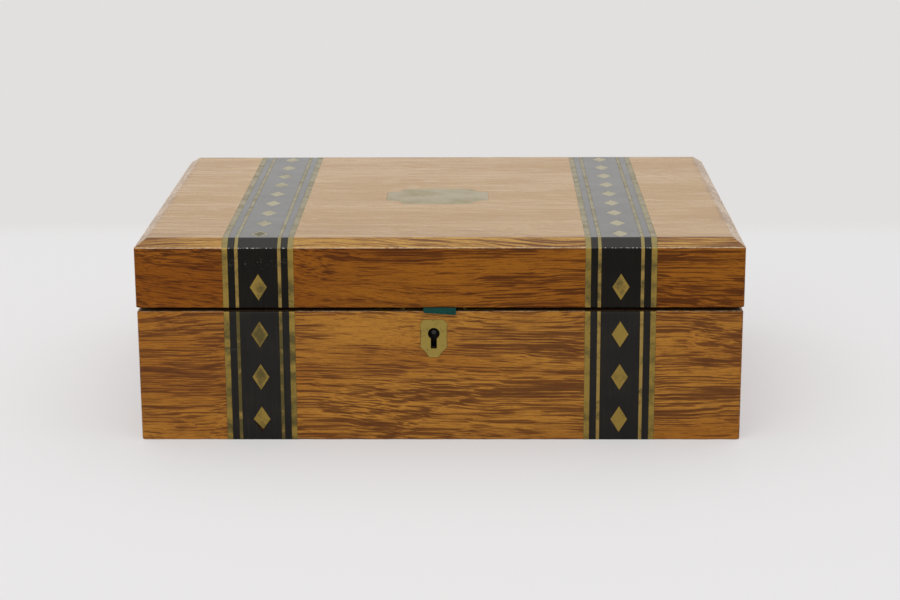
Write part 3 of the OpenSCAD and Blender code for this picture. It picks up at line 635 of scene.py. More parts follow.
@dataclass(frozen=True)
class Oak(Finish):
    """Varnished oak: golden ground, dark pore streaks in drifting bands, pale edges partly worn and
    partly a painted highlight.
    """

    grain: Grain = Grain.ALONG_X
    ground: Colour = (0.330, 0.122, 0.0128)
    light: Colour = (0.420, 0.183, 0.026)
    dark: Colour = (0.126, 0.036, 0.007)
    deep: Colour = (0.066, 0.019, 0.004)
    # Pale colour of worn edges; at the lid's arris and the base's top edge it also paints the
    # highlight of the rounded edge.
    worn: Colour = (0.62, 0.46, 0.28)
    # Painted shade: near-black colour for pocket floors, the boards' inner faces seen in the seam,
    # and the keyhole.
    soiled: Colour = (0.045, 0.020, 0.008)
    drift: float = 0.0
    lean: float = 0.0
    lean_from: float = 0.06
    # Painted shade: the darker tone that the flat top turns to where the fade value is high.
    flat: Colour | None = None
    patches: tuple[Patch, ...] = ()
    roughness: float = 0.34
    gloss: float = 0.13

    def figure(self, graph: Graph, place: Sequence[Sock], *kinds: Figure) -> list[Sock]:
        """Some noises of the figure at a place (along the grain, across it, height)."""
        found = []
        for kind in kinds:
            along, across, detail, rough, drifting = kind.value
            shift = [self.drift if part == drifting else 0 for part in range(3)]
            found.append(graph.noise(place, (along, across, across), detail, rough, shift))
        return found

    def paint(self, graph: Graph) -> None:
        """Streaks are noise drawn out along the grain, let through where a broader noise is high.

        Before the noise is read, the places across the grain shift by two slow wanders, a small
        kink, and lean times the square of the distance past a line near the left end. The fade
        value is painted glare: it washes out the figure as the reflection on the varnished top
        would, and turns the ground to the flat colour, a painted shade that darkens the flat top
        against the bevels.
        """
        x, y, z = graph.place()
        along, across = (x, y) if self.grain is Grain.ALONG_X else (y, x)
        sway, swell, kink = self.figure(
            graph, (along, across, z), Figure.SWAY, Figure.SWELL, Figure.KINK)
        shift = (sway - 0.5) * 0.016 + (swell - 0.5) * 0.022 + (kink - 0.5) * 0.0014
        if self.lean:
            past = (along + self.lean_from).least(0)
            shift = shift + past * past * self.lean
        fibre, thread, pore, band, broad, calm = self.figure(
            graph, (along, across + shift, z + shift), Figure.FIBRE, Figure.THREAD, Figure.PORE,
            Figure.BAND, Figure.BROAD, Figure.CALM)
        level = fibre + (band - 0.5) * 0.42 + (calm - 0.5) * 0.45
        for patch in self.patches:
            off, rise = (x - patch.x) * (1 / patch.rx), (z - patch.z) * (1 / patch.rz)
            level = level + (off * off + rise * rise).step(1.4, 0.2) * patch.more
        streak, core = level.step(0.495, 0.585), level.step(0.565, 0.70)
        hair = (thread + (band - 0.5) * 0.3).step(0.50, 0.62)
        # Painted glare: the fade value washes out the figure and turns the ground to the flat
        # colour.
        fade = graph.value("fade")
        tone = graph.mix(broad.step(0.35, 0.65), self.ground, self.light)
        if self.flat:
            tone = graph.mix(fade.step(0.0, 0.5) * 0.85, tone, self.flat)
        shown = 1 - fade
        for amount, colour in (
            (band.step(0.40, 0.70) * 0.26, self.dark),
            (hair * 0.42, self.dark),
            (thread.step(0.48, 0.30) * 0.35, self.light),
            (streak * 0.72, self.dark),
            (core * 0.55, self.deep),
            (pore.step(0.62, 0.72) * 0.35, self.deep),
        ):
            tone = graph.mix(amount * shown, tone, colour)
        scuff = graph.noise((x, y, z), (420, 420, 900))
        # Pale edges: partly wear, partly a painted highlight on the rounded arris and top edges.
        worn = (graph.value("wear") * (0.40 + scuff)).step(0.42, 0.95)
        # Painted shade: near black where the piece's shade value is high.
        soil = graph.value("soil").step(0.01, 0.12)
        tone = graph.mix(worn * 0.85, tone, self.worn)
        tone = graph.mix(soil * 0.88, tone, self.soiled)
        graph.surface(
            Base_Color=tone,
            Roughness=self.roughness + streak * 0.12 + worn * 0.2 + soil * 0.3,
            Normal=graph.bump(thread * 0.25 - streak * 0.4 - pore * 0.5, 0.10 * MM, 0.5),
            IOR=1.5,
            Specular_IOR_Level=self.gloss,
        )


@dataclass(frozen=True)
class PlainWood(Finish):
    """Unvarnished softwood of the bottom board."""

    ground: Colour = (0.40, 0.25, 0.12)
    dark: Colour = (0.20, 0.11, 0.045)
    grime: Colour = (0.09, 0.06, 0.04)

    def paint(self, graph: Graph) -> None:
        """Broad growth lines along X, greyed by dirt."""
        x, y, z = graph.place()
        sway = graph.noise((x, y, z), (4, 8, 8), detail=1)
        growth = graph.noise((x, y + sway * 0.03, z), (7, 260, 260))
        dirt = graph.noise((x, y, z), 14, detail=3)
        tone = graph.mix(growth.step(0.4, 0.66) * 0.7, self.ground, self.dark)
        tone = graph.mix(dirt.step(0.45, 0.75) * 0.4, tone, self.grime)
        graph.surface(
            Base_Color=tone,
            Roughness=0.6 + growth * 0.2,
            Normal=graph.bump(growth, 0.2 * MM, 0.5),
        )


@dataclass(frozen=True)
class Ebony(Finish):
    """Polished ebony, brown-black, with faint grain, fine scratches and chipped edges."""

    ground: Colour = (0.0085, 0.0075, 0.0062)
    brown: Colour = (0.0150, 0.0120, 0.0090)
    chip: Colour = (0.60, 0.57, 0.50)
    gloss: float = 0.16
    coat: float = 0.0

    def paint(self, graph: Graph) -> None:
        """Grain runs up the strap; chips show where the wear value meets a broken noise."""
        x, y, z = graph.place()
        grain = graph.noise((x, y, z), (900, 40, 40))
        cloud = graph.noise((x, y, z), 60)
        tone = graph.mix((grain * 0.5 + cloud * 0.5).step(0.4, 0.7), self.ground, self.brown)
        skewed = (x * 620 + z * 450, y * 500, z * 860 - x * 380)
        crumb = graph.noise(skewed, 1, detail=3, rough=0.65)
        chipped = (graph.value("wear") * (0.2 + crumb)).step(0.60, 0.74)
        graph.surface(
            Base_Color=graph.mix(chipped, tone, self.chip),
            Roughness=0.24 + cloud * 0.12 + chipped * 0.3,
            Normal=graph.bump(grain - chipped * 2, 0.06 * MM, 0.4),
            IOR=1.5,
            Specular_IOR_Level=self.gloss,
            Coat_Weight=self.coat,
            Coat_Roughness=0.12,
        )


@dataclass(frozen=True)
class AgedBrass(Finish):
    """Old brass, rubbed bright in places and tarnished brown in others."""

    bright: Colour = (0.275, 0.182, 0.036)
    tarnish: Colour = (0.095, 0.072, 0.021)
    # Painted shade: near-black colour for shaded parts, such as keyhole walls and the inside of the
    # lock.
    shade_black: Colour = (0.006, 0.0045, 0.003)
    share: float = 0.5
    metallic: float = 0.75
    roughness: float = 0.42
    blotch: float = 90
    inside: tuple[float, float] | None = None

    def paint(self, graph: Graph) -> None:
        """Blotches of tarnish, pits, fine rubbing marks, and the piece's own tarnish value on top.

        Painted shade: the brass turns nearly black where the piece's shade value is high, and in
        what lies before the inside's place in y and below its height, inside the lock.
        """
        x, y, z = graph.place()
        blotch = graph.noise((x, y, z), self.blotch, detail=4, rough=0.6)
        speck = graph.noise((x, y, z), 900)
        rub = graph.noise((x, y, z), (2400, 300, 300), detail=1)
        own, soil = graph.value("tarnish"), graph.value("soil")
        level = blotch + (self.share - 0.5) * 0.5 + own * 0.5 + (speck - 0.5) * 0.30
        level = level.step(0.34, 0.80)
        pit = (speck + blotch * 0.3).step(0.80, 0.90)
        tone = graph.mix(level, self.bright, self.tarnish)
        tone = graph.mix(graph.value("wear") * 0.5, tone, self.bright)
        tone = graph.mix(pit * 0.6, tone, self.tarnish)
        # Painted shade inside the lock, before the inside's place and below its height.
        if self.inside:
            y_end, z_end = self.inside
            soil = soil.most((y_end - y).step(0, PLAY) * (z_end - z).step(0, PLAY))
        graph.surface(
            Base_Color=graph.mix(soil, tone, self.shade_black),
            Metallic=self.metallic,
            Roughness=self.roughness + level * 0.2 - rub * 0.08,
            Normal=graph.bump(rub * 0.4 + speck * 0.4 - pit, 0.04 * MM, 0.4),
        )


@dataclass(frozen=True)
class Iron(Finish):
    """Filed iron with a grey-brown skin."""

    filed: Colour = (0.42, 0.41, 0.39)
    skin: Colour = (0.20, 0.16, 0.13)
    metallic: float = 0.9

    def paint(self, graph: Graph) -> None:
        """Fine file marks along X over soft blotches."""
        place = graph.place()
        marks = graph.noise(place, (200, 3000, 3000), detail=1)
        cloud = graph.noise(place, 150, detail=3)
        graph.surface(
            Base_Color=graph.mix(cloud.step(0.4, 0.7), self.filed, self.skin),
            Metallic=self.metallic,
            Roughness=0.3 + marks * 0.2,
            Normal=graph.bump(marks, 0.03 * MM, 0.5),
        )


@dataclass(frozen=True)
class Baize(Finish):
    """Fulled wool cloth: short fuzzy nap with rubbed patches."""

    ground: Colour = (0.012, 0.062, 0.052)
    nap: Colour = (0.030, 0.120, 0.105)
    sheen: float = 0.12

    def paint(self, graph: Graph) -> None:
        """Nap from fine noise, rubbed patches from broad noise."""
        place = graph.place()
        fuzz = graph.noise(place, 1700, detail=3, rough=0.7)
        rubbed = graph.noise(place, 25, detail=3)
        tone = graph.mix(fuzz.step(0.35, 0.7) * 0.7, self.ground, self.nap)
        tone = graph.mix(rubbed.step(0.5, 0.8) * 0.25, tone, self.nap)
        graph.surface(
            Base_Color=tone,
            Roughness=0.95,
            Specular_IOR_Level=0.2,
            Sheen_Weight=self.sheen,
            Sheen_Roughness=0.5,
            Normal=graph.bump(fuzz, 0.4 * MM, 0.8),
        )


OAK_LONG = Oak(
    "oak_long", "oak",
    patches=(Patch(-0.030, 0.069, 0.040, 0.010, -0.10), Patch(0.034, 0.010, 0.050, 0.012, -0.08),
             Patch(-0.160, 0.040, 0.040, 0.050, 0.03)),
)
OAK_SHORT = Oak("oak_short", "oak", grain=Grain.ALONG_Y, drift=5.3)
OAK_LID = Oak(
    "oak_lid", "oak", drift=11.7, lean=-0.36, gloss=0.06,
    patches=(Patch(-0.042, 0.090, 0.060, 0.014, -0.11), Patch(-0.150, 0.095, 0.055, 0.035, 0.06)),
    ground=(0.232, 0.068, 0.006), light=(0.295, 0.102, 0.010), dark=(0.078, 0.019, 0.004),
)
OAK_LID_SHORT = Oak("oak_lid_short", "oak", grain=Grain.ALONG_Y, drift=17.1,
                    ground=(0.310, 0.110, 0.013), light=(0.390, 0.155, 0.024))
# Painted glare: the top's ground and light are paler than the front's oak, as the reflection on the
# varnish makes it look; its flat colour is a painted shade for the flat top.
OAK_TOP = Oak(
    "oak_top", "oak", drift=23.9, roughness=0.2, gloss=0.42,
    patches=(Patch(0, 0.115, 0.4, 0.02, 0.06),), flat=(0.380, 0.198, 0.028),
    ground=(0.435, 0.225, 0.045), light=(0.510, 0.285, 0.070), dark=(0.175, 0.058, 0.020),
)
BOTTOM_WOOD = PlainWood("bottom_wood", "pale_wood")
EBONY = Ebony("ebony_base", "ebony")
EBONY_LID = Ebony("ebony_lid", "ebony", gloss=0.08, ground=(0.0062, 0.0055, 0.0042),
                  brown=(0.010, 0.008, 0.006))
EBONY_TOP = Ebony("ebony_top", "ebony", gloss=0.5, coat=0.2)
LINE_BRASS = AgedBrass("line_brass", "line_brass", share=0.45)
THIN_BRASS = AgedBrass("thin_line_brass", "line_brass", share=0.56, blotch=220,
                       bright=(0.300, 0.195, 0.052))
# Painted reflection: the bevel's and the top's brass lines are paler, greyer copies of the line
# brass, as the reflection on the lid's top makes them look.
BEVEL_BRASS = AgedBrass("bevel_line_brass", "line_brass", share=0.3, bright=(0.36, 0.29, 0.12),
                        tarnish=(0.22, 0.18, 0.085))
TOP_BRASS = AgedBrass("top_line_brass", "line_brass", bright=(0.29, 0.25, 0.140),
                      tarnish=(0.25, 0.212, 0.122))
LOZENGE_BRASS = AgedBrass("lozenge_brass", "lozenge_brass", share=0.2)
# Painted reflection: the top's lozenges are paler and greyer than the others.
TOP_LOZENGE_BRASS = AgedBrass("top_lozenge_brass", "lozenge_brass", share=0.1,
                              bright=(0.38, 0.34, 0.21), tarnish=(0.17, 0.15, 0.09))
PLATE_BRASS = AgedBrass("plate_brass", "plate_brass", share=0.15, blotch=140,
                        bright=(0.300, 0.214, 0.045))
# Painted reflection: the name plate on the top is paler, greyer brass than the keyhole plate.
NAME_BRASS = AgedBrass("name_plate_brass", "plate_brass", blotch=60, roughness=0.34,
                       bright=(0.325, 0.262, 0.132), tarnish=(0.308, 0.248, 0.124))
LOCK_BRASS = AgedBrass("lock_brass", "lock_brass", share=0.4, roughness=0.36,
                       bright=(0.360, 0.250, 0.080))
# Painted shade: the lock plate's inside, seen through the keyhole, turns near black.
LOCK_PLATE_BRASS = AgedBrass(
    "lock_plate_brass", "lock_brass", share=0.4, roughness=0.36, bright=(0.360, 0.250, 0.080),
    inside=(high("lock_plate")[1] - 1.1 * MM, high("lock_plate")[2] - MM),
)
# Painted shade: the lock case, seen through the keyhole, is brass painted near black.
DARK_BRASS = AgedBrass("dark_lock_brass", "lock_brass", bright=(0.024, 0.016, 0.007),
                       tarnish=(0.012, 0.008, 0.004))
# Painted shade: the link plate, seen in the seam, is darker and more tarnished than the other lock
# brass.
LINK_BRASS = AgedBrass("link_brass", "lock_brass", share=0.6, bright=(0.100, 0.066, 0.022),
                       tarnish=(0.040, 0.027, 0.010))
IRON = Iron("filed_iron", "iron")
# Painted shade: the drill pin deep in the keyhole is iron painted near black.
DARK_IRON = Iron("dark_iron", "iron", filed=(0.026, 0.022, 0.019), skin=(0.014, 0.011, 0.009),
                 metallic=0.5)
BAIZE = Baize("green_baize", "baize")
TAB_CLOTH = Baize("tab_cloth", "baize", ground=(0.003, 0.034, 0.026), nap=(0.008, 0.076, 0.064),
                  sheen=0.03)


@dataclass(frozen=True)
class Pocket:
    """A recess in a board: its span along it, its levels, and the depth where it stops."""

    u0: float
    u1: float
    z0: float
    z1: float
    depth: float
    inner: bool = False

    def holds(self, u: Array, z: Array) -> Array:
        """Which points lie in the recess."""
        return (u > self.u0) & (u < self.u1) & (z > self.z0) & (z < self.z1)


@dataclass(frozen=True)
class Inlay:
    """Sizes of the inlaid straps: half widths from a strap's middle line, thickness, and play."""

    middle: float
    panel_half: float
    inner_half: float
    ebony_half: float
    strap_half: float
    thick: float
    slack: float = 0.05 * MM
    lozenge_w: float = 10.1 * MM
    lozenge_l: float = 16.2 * MM

    @staticmethod
    def measured() -> "Inlay":
        """The sizes, read off the CAD nodes of the base's straps."""
        kinds = ("ebony_panels", "inner_brass_lines", "ebony_lines", "outer_brass_lines")
        axis = high("base_brass_lozenges")[0] - Inlay.lozenge_w / 2
        halves = (high(f"base_{kind}")[0] - axis for kind in kinds)
        return Inlay(axis, *halves, size("base_ebony_lines")[1])

    def in_strap(self, u: Array) -> Array:
        """Which places across the box lie within a strap."""
        return np.abs(np.abs(u) - self.middle) < self.strap_half


INLAY = Inlay.measured()


@dataclass(frozen=True)
class Profile:
    """The lid's outer line from front face over bevel to top, with worn arris and brow."""

    face_z: float
    arris: float
    top: float
    bevel_in: float
    arris_r: float = 1.35 * MM
    brow_r: float = 1.25 * MM

    @property
    def slope(self) -> float:
        """Angle of the bevel above the horizontal, in radians."""
        return math.atan2(self.top - self.arris, self.bevel_in)

    @property
    def turn(self) -> float:
        """Angle that the surface turns through at the arris, in radians."""
        return math.pi / 2 - self.slope

    @property
    def seam(self) -> float:
        """Angle on the arris' arc where board meets panel, at the arris' own height."""
        return math.asin(math.tan(self.turn / 2))

    def arris_arc(self, start: float, end: float, steps: int,
                  r: Array | float) -> tuple[Array, Array]:
        """Arc at the arris: depth r(1 - cos f), height arris - r tan(turn / 2) + r sin f.

        Args:
            start: First angle f, where 0 is on the face and turn is on the bevel.
            end: Last angle.
            steps: Number of steps.
            r: The arc's radius, one or several.

        Returns:
            Depths behind the face and heights, of shape (steps + 1, ...).
        """
        f = np.linspace(start, end, steps + 1)
        r = np.asarray(r, float)
        depth = np.multiply.outer(1 - np.cos(f), r)
        return depth, self.arris - r * math.tan(self.turn / 2) + np.multiply.outer(np.sin(f), r)

    def brow_arc(self, start: float, end: float, steps: int,
                 r: Array | float) -> tuple[Array, Array]:
        """Arc at the brow, at depth bevel_in + r tan(slope / 2) - r sin f."""
        f = np.linspace(start, end, steps + 1)
        r = np.asarray(r, float)
        depth = self.bevel_in + r * math.tan(self.slope / 2) - np.multiply.outer(np.sin(f), r)
        return depth, self.top - r + np.multiply.outer(np.cos(f), r)

    def bevel(self, arris_r: Array, brow_r: Array) -> tuple[Array, Array]:
        """The panel's edge from the seam over the arris, up the bevel and over the brow."""
        arris_steps, brow_steps, bevel_steps = 5, 6, 6
        ed, ez = self.arris_arc(self.seam, self.turn, arris_steps, arris_r)
        bd, bz = self.brow_arc(self.slope, 0, brow_steps, brow_r)
        t = np.linspace(0, 1, bevel_steps + 1)[1:-1].reshape(-1, *([1] * (ed.ndim - 1)))
        return (np.concatenate([ed, ed[-1] + t * (bd[0] - ed[-1]), bd]),
                np.concatenate([ez, ez[-1] + t * (bz[0] - ez[-1]), bz]))

    def pocket_foot(self, thick: float) -> tuple[float, float, float]:
        """A pocket of some thickness: its drop below the arris, its run there, its brow offset."""
        drop = thick * math.tan(self.turn / 2)
        return drop, drop / math.tan(self.slope), thick * math.tan(self.slope / 2)


PROFILE = Profile(
    face_z=low("lid_front_board")[2],
    arris=high("lid_front_board")[2],
    top=high("lid_top_panel")[2],
    bevel_in=low("lid_top_ebony_lines")[1] - low("lid_top_panel")[1],
)


def worn_radius(r: float, u: Array, half: float, seed: int, amount: float = 0.28,
                least: float = -1) -> Array:
    """Radius of a worn edge: r (1 + amount w), where the wander w dies out at both ends.

    Args:
        r: The nominal radius.
        u: Places along the edge, from its middle.
        half: Half the edge's length.
        seed: Picks the wander.
        amount: How much the radius wanders, as a share.
        least: Least value of the wander; 0 keeps the radius from falling below r.

    Returns:
        The radius at each place.
    """
    pitch, fade = 60 * MM, 16 * MM
    calm = ease((half - np.abs(u)) / fade)
    return r * (1 + amount * calm * np.clip(ripple(u, seed, pitch), least, 1))


@dataclass(frozen=True)
class Board:
    """One board of a mitred frame, with rounded edges, pockets and perhaps a window."""

    name: str
    side: Side
    finish: Finish
    body: Body
    length: float
    half: float
    z0: float
    z1: float
    wall: float
    pockets: tuple[Pocket, ...] = ()
    window: Window | None = None
    at_arris: bool = False
    low_r: float = 0.7 * MM
    high_r: float = 0.7 * MM
    back_low_r: float = 0.0
    back_high_r: float = 0.0
    corner_r: float = 1.6 * MM
    seed: int = 1
    low_wear: float = 0.5
    high_wear_and_highlight: float = 0.6
    end_wear: float = 0.5

    @property
    def spans(self) -> tuple[float, float]:
        """Heights of the bands that the low and the high edge's arcs take up."""
        return max(self.low_r, self.back_low_r), max(self.high_r, self.back_high_r)

    def edge_radius(self, r: float, back_r: float, u: Array, seed: int, at_seam: bool) -> Array:
        """Worn radius along the board, which grows to the back board's at a side board's back end.

        At the seam of a back board it is never less than r, so that the open lid clears the base.
        """
        reach = 20 * MM
        least = 0 if at_seam and self.side is Side.BACK else -1
        worn = worn_radius(r, u, self.length / 2, seed, least=least)
        back = u if self.side is Side.RIGHT else -u
        grow = max(back_r - r, 0) if back_r else 0
        return worn + grow * ease((back - self.length / 2 + reach) / reach)

    def bend(self, face: tuple[Array, Array], z: Array, edge: float, span: float, r: Array,
             way: int, turn: float, rise: Array) -> None:
        """Bends the rows within a span of an edge into an arc, in place.

        The arc has depth r (1 - cos f) and height edge + way (r sin f - rise), f from 0 to turn.
        """
        depth, height = face
        near = np.abs(z - edge) < span * 1.0001
        f = (1 - np.abs(z - edge) / span) * turn
        depth[:] = np.where(near, depth + r * (1 - np.cos(f)), depth)
        height[:] = np.where(near, edge + way * (r * np.sin(f) - rise), height)

    def unevenness(self, u: Array, z: Array, last: float) -> Array:
        """How far the planed face lies back: some hundredths of a mm, none at ends and window."""
        height, calm_end, calm_window = 0.02 * MM, 20 * MM, 10 * MM
        calm = ease((last - np.abs(u)) / calm_end)
        if self.window:
            calm = calm * ease(off_window(u, z, self.window) / calm_window)
        wander = (ripple(u + 3 * z, self.seed + 7, 90 * MM)
                  + ripple(u - 2 * z, self.seed + 8, 70 * MM))
        return height * calm * np.clip(1.5 + wander, 0, None)

    def grid(self, last: float) -> tuple[Array, Array]:
        """Grid lines along and up the board, exact at its arcs, pockets and window."""
        half, c = self.length / 2, self.corner_r
        low_span, high_span = self.spans
        arc = half - c + c * np.sin(np.radians([0, 9, 18, 27, 36]))
        marks = [s * p for p in (*arc, half - 6 * MM, half - 11 * MM) for s in (-1, 1)]
        rows = [self.z0 + low_span * k for k in (0.2, 0.4, 0.6, 0.8, 1, 1.45)]
        rows += [self.z1 - high_span * k for k in (0.17, 0.33, 0.5, 0.67, 0.83, 1, 1.45)]
        rows += [self.z1 - 5 * MM, self.z0 + 4 * MM]
        if self.window:
            marks += self.window[:2]
            rows += self.window[2:]
        steps = [e for p in self.pockets for e in (p.u0, p.u1)]
        z_steps = [e for p in self.pockets for e in (p.z0, p.z1)]
        return (lines(-last, last, 2.4 * MM, steps, marks),
                lines(self.z0, self.z1, 5 * MM, z_steps, rows))

    def faces(self, u: Array, z: Array, last: float) -> list[tuple[Array, Array]]:
        """Depths and heights of the outer and the inner face, with edges bent and pockets sunk."""
        c = self.corner_r
        beyond = np.clip(np.abs(u) - (self.length / 2 - c), 0, None)
        outer = c - np.sqrt(c * c - beyond**2) + self.unevenness(u, z, last), z.copy()
        inner = np.full(u.shape, self.wall), z.copy()
        low_span, high_span = self.spans
        low_r = self.edge_radius(self.low_r, self.back_low_r, u, self.seed + 1, self.at_arris)
        high_r = self.edge_radius(self.high_r, self.back_high_r, u, self.seed + 2,
                                  not self.at_arris)
        turn, rise = math.pi / 2, high_r
        if self.at_arris:
            turn, rise = PROFILE.seam, high_r * math.tan(PROFILE.turn / 2)
        self.bend(outer, z, self.z0, low_span, low_r, -1, math.pi / 2, low_r)
        self.bend(outer, z, self.z1, high_span, high_r, 1, turn, rise)
        for pocket in self.pockets:
            held = pocket.holds(u, z)
            face, height = inner if pocket.inner else outer
            face[held] = pocket.depth
            height[held] = z[held]
        if self.at_arris and self.side is Side.FRONT:
            drop, run, _ = PROFILE.pocket_foot(INLAY.thick)
            foot = INLAY.thick + INLAY.slack + run * np.clip(1 - (self.z1 - z) / drop, 0, 1)
            outer[0][:] = np.where(INLAY.in_strap(u), foot, outer[0])
        return [outer, inner]

    def shape(self) -> Shape:
        """The board: an outer and an inner face on one grid, joined round their edges.

        The outer face lies at depth 0, less the arcs at its edges and the corner's arc
        c - sqrt(c^2 - t^2). Near each end the points shift along the board, so that the end lies
        on the mitre, where half the length less u equals the depth.
        """
        rim, end_rim, shade_depth = 0.9 * MM, 1.2 * MM, 0.9 * MM
        half = self.length / 2
        last = half - self.corner_r * (1 - math.cos(math.pi / 4))
        us, zs = self.grid(last)
        u, z = np.meshgrid(us, zs, indexing="ij")
        faces = self.faces(u, z, last)
        shift = self.wall + 4 * MM
        k = np.clip((np.abs(u) - half + shift) / (last - half + shift), 0, 1)
        placed = []
        for depth, height in faces:
            ends = half - np.where(u > 0, depth[-1:], depth[:1])
            along = np.sign(u) * (np.abs(u) + k * (ends - last))
            placed.append(on_side(self.side, self.half, along, depth, height))
        # The high edge's wear also paints the highlight of its rounded edge.
        rims = np.maximum(self.high_wear_and_highlight * np.exp((z - self.z1) / rim),
                          self.low_wear * np.exp((self.z0 - z) / rim))
        wear = np.maximum(rims, self.end_wear * np.exp((np.abs(u) - last) / end_rim))
        # Painted shade on outer faces sunk more than 0.9 mm and on the whole inner face, which
        # darkens the pockets and the rim seen in the seam.
        soil = (faces[0][0] > shade_depth).astype(float)
        keep = outside(us, zs, self.window) if self.window else None
        return plate(*placed, keep, {"wear": (wear, wear * 0), "soil": (soil, np.ones(u.shape))})

    def build(self, extra: Sequence[Shape] = ()) -> None:
        """Adds the board to the scene in place of its CAD node."""
        add_piece(self.name, [self.shape(), *extra], self.finish, self.body)


def strap_pockets(z0: float, z1: float) -> tuple[Pocket, ...]:
    """The pockets of both straps in a front board."""
    return tuple(
        Pocket(u - INLAY.strap_half, u + INLAY.strap_half, z0 - MM, z1 + MM,
               INLAY.thick + INLAY.slack)
        for u in (-INLAY.middle, INLAY.middle)
    )


def hinge_pockets(half: float, level: float, way: int) -> tuple[Pocket, ...]:
    """Seats of both hinges in a back board: one for the leaf and one for the knuckles.

    Args:
        half: Distance from the box's middle to the board's outer face.
        level: Height of the board's edge at the seam.
        way: 1 where the board lies above the seam, -1 where it lies below.

    Returns:
        The pockets.
    """
    leaf_t, seat_h, knuckle_r = 1.5 * MM, 2.3 * MM, 2.1 * MM
    leaf = "hinge_right_base_leaf"
    x0, x1 = low(leaf)[0] - PLAY, high(leaf)[0] + PLAY
    leaf_y, axis_y = low(leaf)[1] - PLAY, middle("hinge_right_pin")[1]
    found = []
    for u0, u1 in ((x0, x1), (-x1, -x0)):
        for a, b, y in ((-MM, leaf_t, leaf_y), (leaf_t, seat_h, axis_y - knuckle_r)):
            z0, z1 = sorted((level + way * a, level + way * b))
            found.append(Pocket(u0, u1, z0, z1, half - y))
    return tuple(found)


@dataclass
class Escutcheon:
    """The brass keyhole plate and the piece of the front board round it."""

    x: float = middle("lock_drill_pin")[0]
    z: float = middle("lock_drill_pin")[2]
    front: float = low("escutcheon")[1]
    thick: float = size("escutcheon")[1]
    hole_r: float = 3.4 * MM
    slot_w: float = 3.4 * MM
    slot_l: float = 9 * MM
    eye: tuple[float, float] = (0.0, -1.5 * MM)

    def outline(self, grow: float) -> Array:
        """The plate's outline from the keyhole's centre: straight shoulders, then a curve.

        Its measures are in millimetres, and each is grown by some.
        """
        g = grow / MM
        t = np.linspace(0, 1, 7)[:, None]
        cheek, pull, foot = np.array([[8.3 + g, -7.8], [4.7 + g, -11.2], [2.7 + g, -14.6 - g]])
        curve = (1 - t) ** 2 * cheek + 2 * t * (1 - t) * pull + t * t * foot
        shoulder = [[5.9 + g / 2, 8.6 + g], [8.3 + g, 5.6 + g / 2], [7.8 + g, 4.6], [7.8 + g, -6.8]]
        right = np.concatenate([shoulder, curve])
        return np.concatenate([right, right[::-1] * [-1, 1]]) * MM

    def keyhole(self, grow: float) -> Array:
        """The keyhole's outline: a round of hole_r with a slot of slot_w below it, grown."""
        r, w = self.hole_r + grow, self.slot_w / 2 + grow
        start = -math.acos(w / r)
        f = np.linspace(start, math.pi - start, 25)
        foot = -self.slot_l - grow
        round_part = np.stack([r * np.cos(f), r * np.sin(f)], 1)
        return np.concatenate([round_part, [[-w, foot], [w, foot]]])

    def rings(self, steps: Sequence[tuple[Array, float]]) -> Array:
        """Outlines at depths behind the front face, in place."""
        return nested(steps, self.eye)[..., [0, 2, 1]] + [self.x, self.front, self.z]

    def window(self) -> Window:
        """The part of the front board that is made round the plate."""
        side, foot, head = 9.6 * MM, 16 * MM, 10 * MM
        return (self.x - side, self.x + side, self.z - foot, self.z + head)

    def plug(self, behind: float) -> Shape:
        """The board round the plate: its face, the plate's seat, and the keyhole through it."""
        u0, u1, z0, z1 = self.window()
        edge = rectangle(u0 - self.x, u1 - self.x, z0 - self.z, z1 - self.z)
        seat, hole = self.outline(0.06 * MM), self.keyhole(0.15 * MM)
        floor = self.thick + 0.05 * MM
        rings = self.rings([(edge, 0), (seat, 0), (seat, floor), (hole, floor), (hole, behind),
                            (edge, behind)])
        # Painted shade on the seat's floor and down the keyhole's walls.
        return loft(rings, {"soil": [0, 0, 1, 1, 1, 1]}, capped=False)

    def build(self) -> None:
        """Adds the plate, with softened edges and a slightly hollow face."""
        e, margin = 0.12 * MM, 0.9 * MM
        rings = self.rings([
            (self.outline(0), self.thick), (self.outline(0), e), (self.outline(-e), 0),
            (self.outline(-margin), 0.02 * MM), (self.keyhole(margin), 0.03 * MM),
            (self.keyhole(e), 0.01 * MM), (self.keyhole(0), e), (self.keyhole(0), self.thick),
        ])
        # Painted shade on the keyhole's walls.
        shape = loft(rings, {
            "wear": [0, 0.6, 0.8, 0.1, 0.1, 0.4, 0, 0],
            "tarnish": [0.5, 0.5, 0.3, 0, 0.1, 0.2, 0.6, 1],
            "soil": [0, 0, 0, 0, 0, 0, 0.9, 1],
        }, capped=False)
        add_piece("escutcheon", [shape], PLATE_BRASS, Body.BASE)


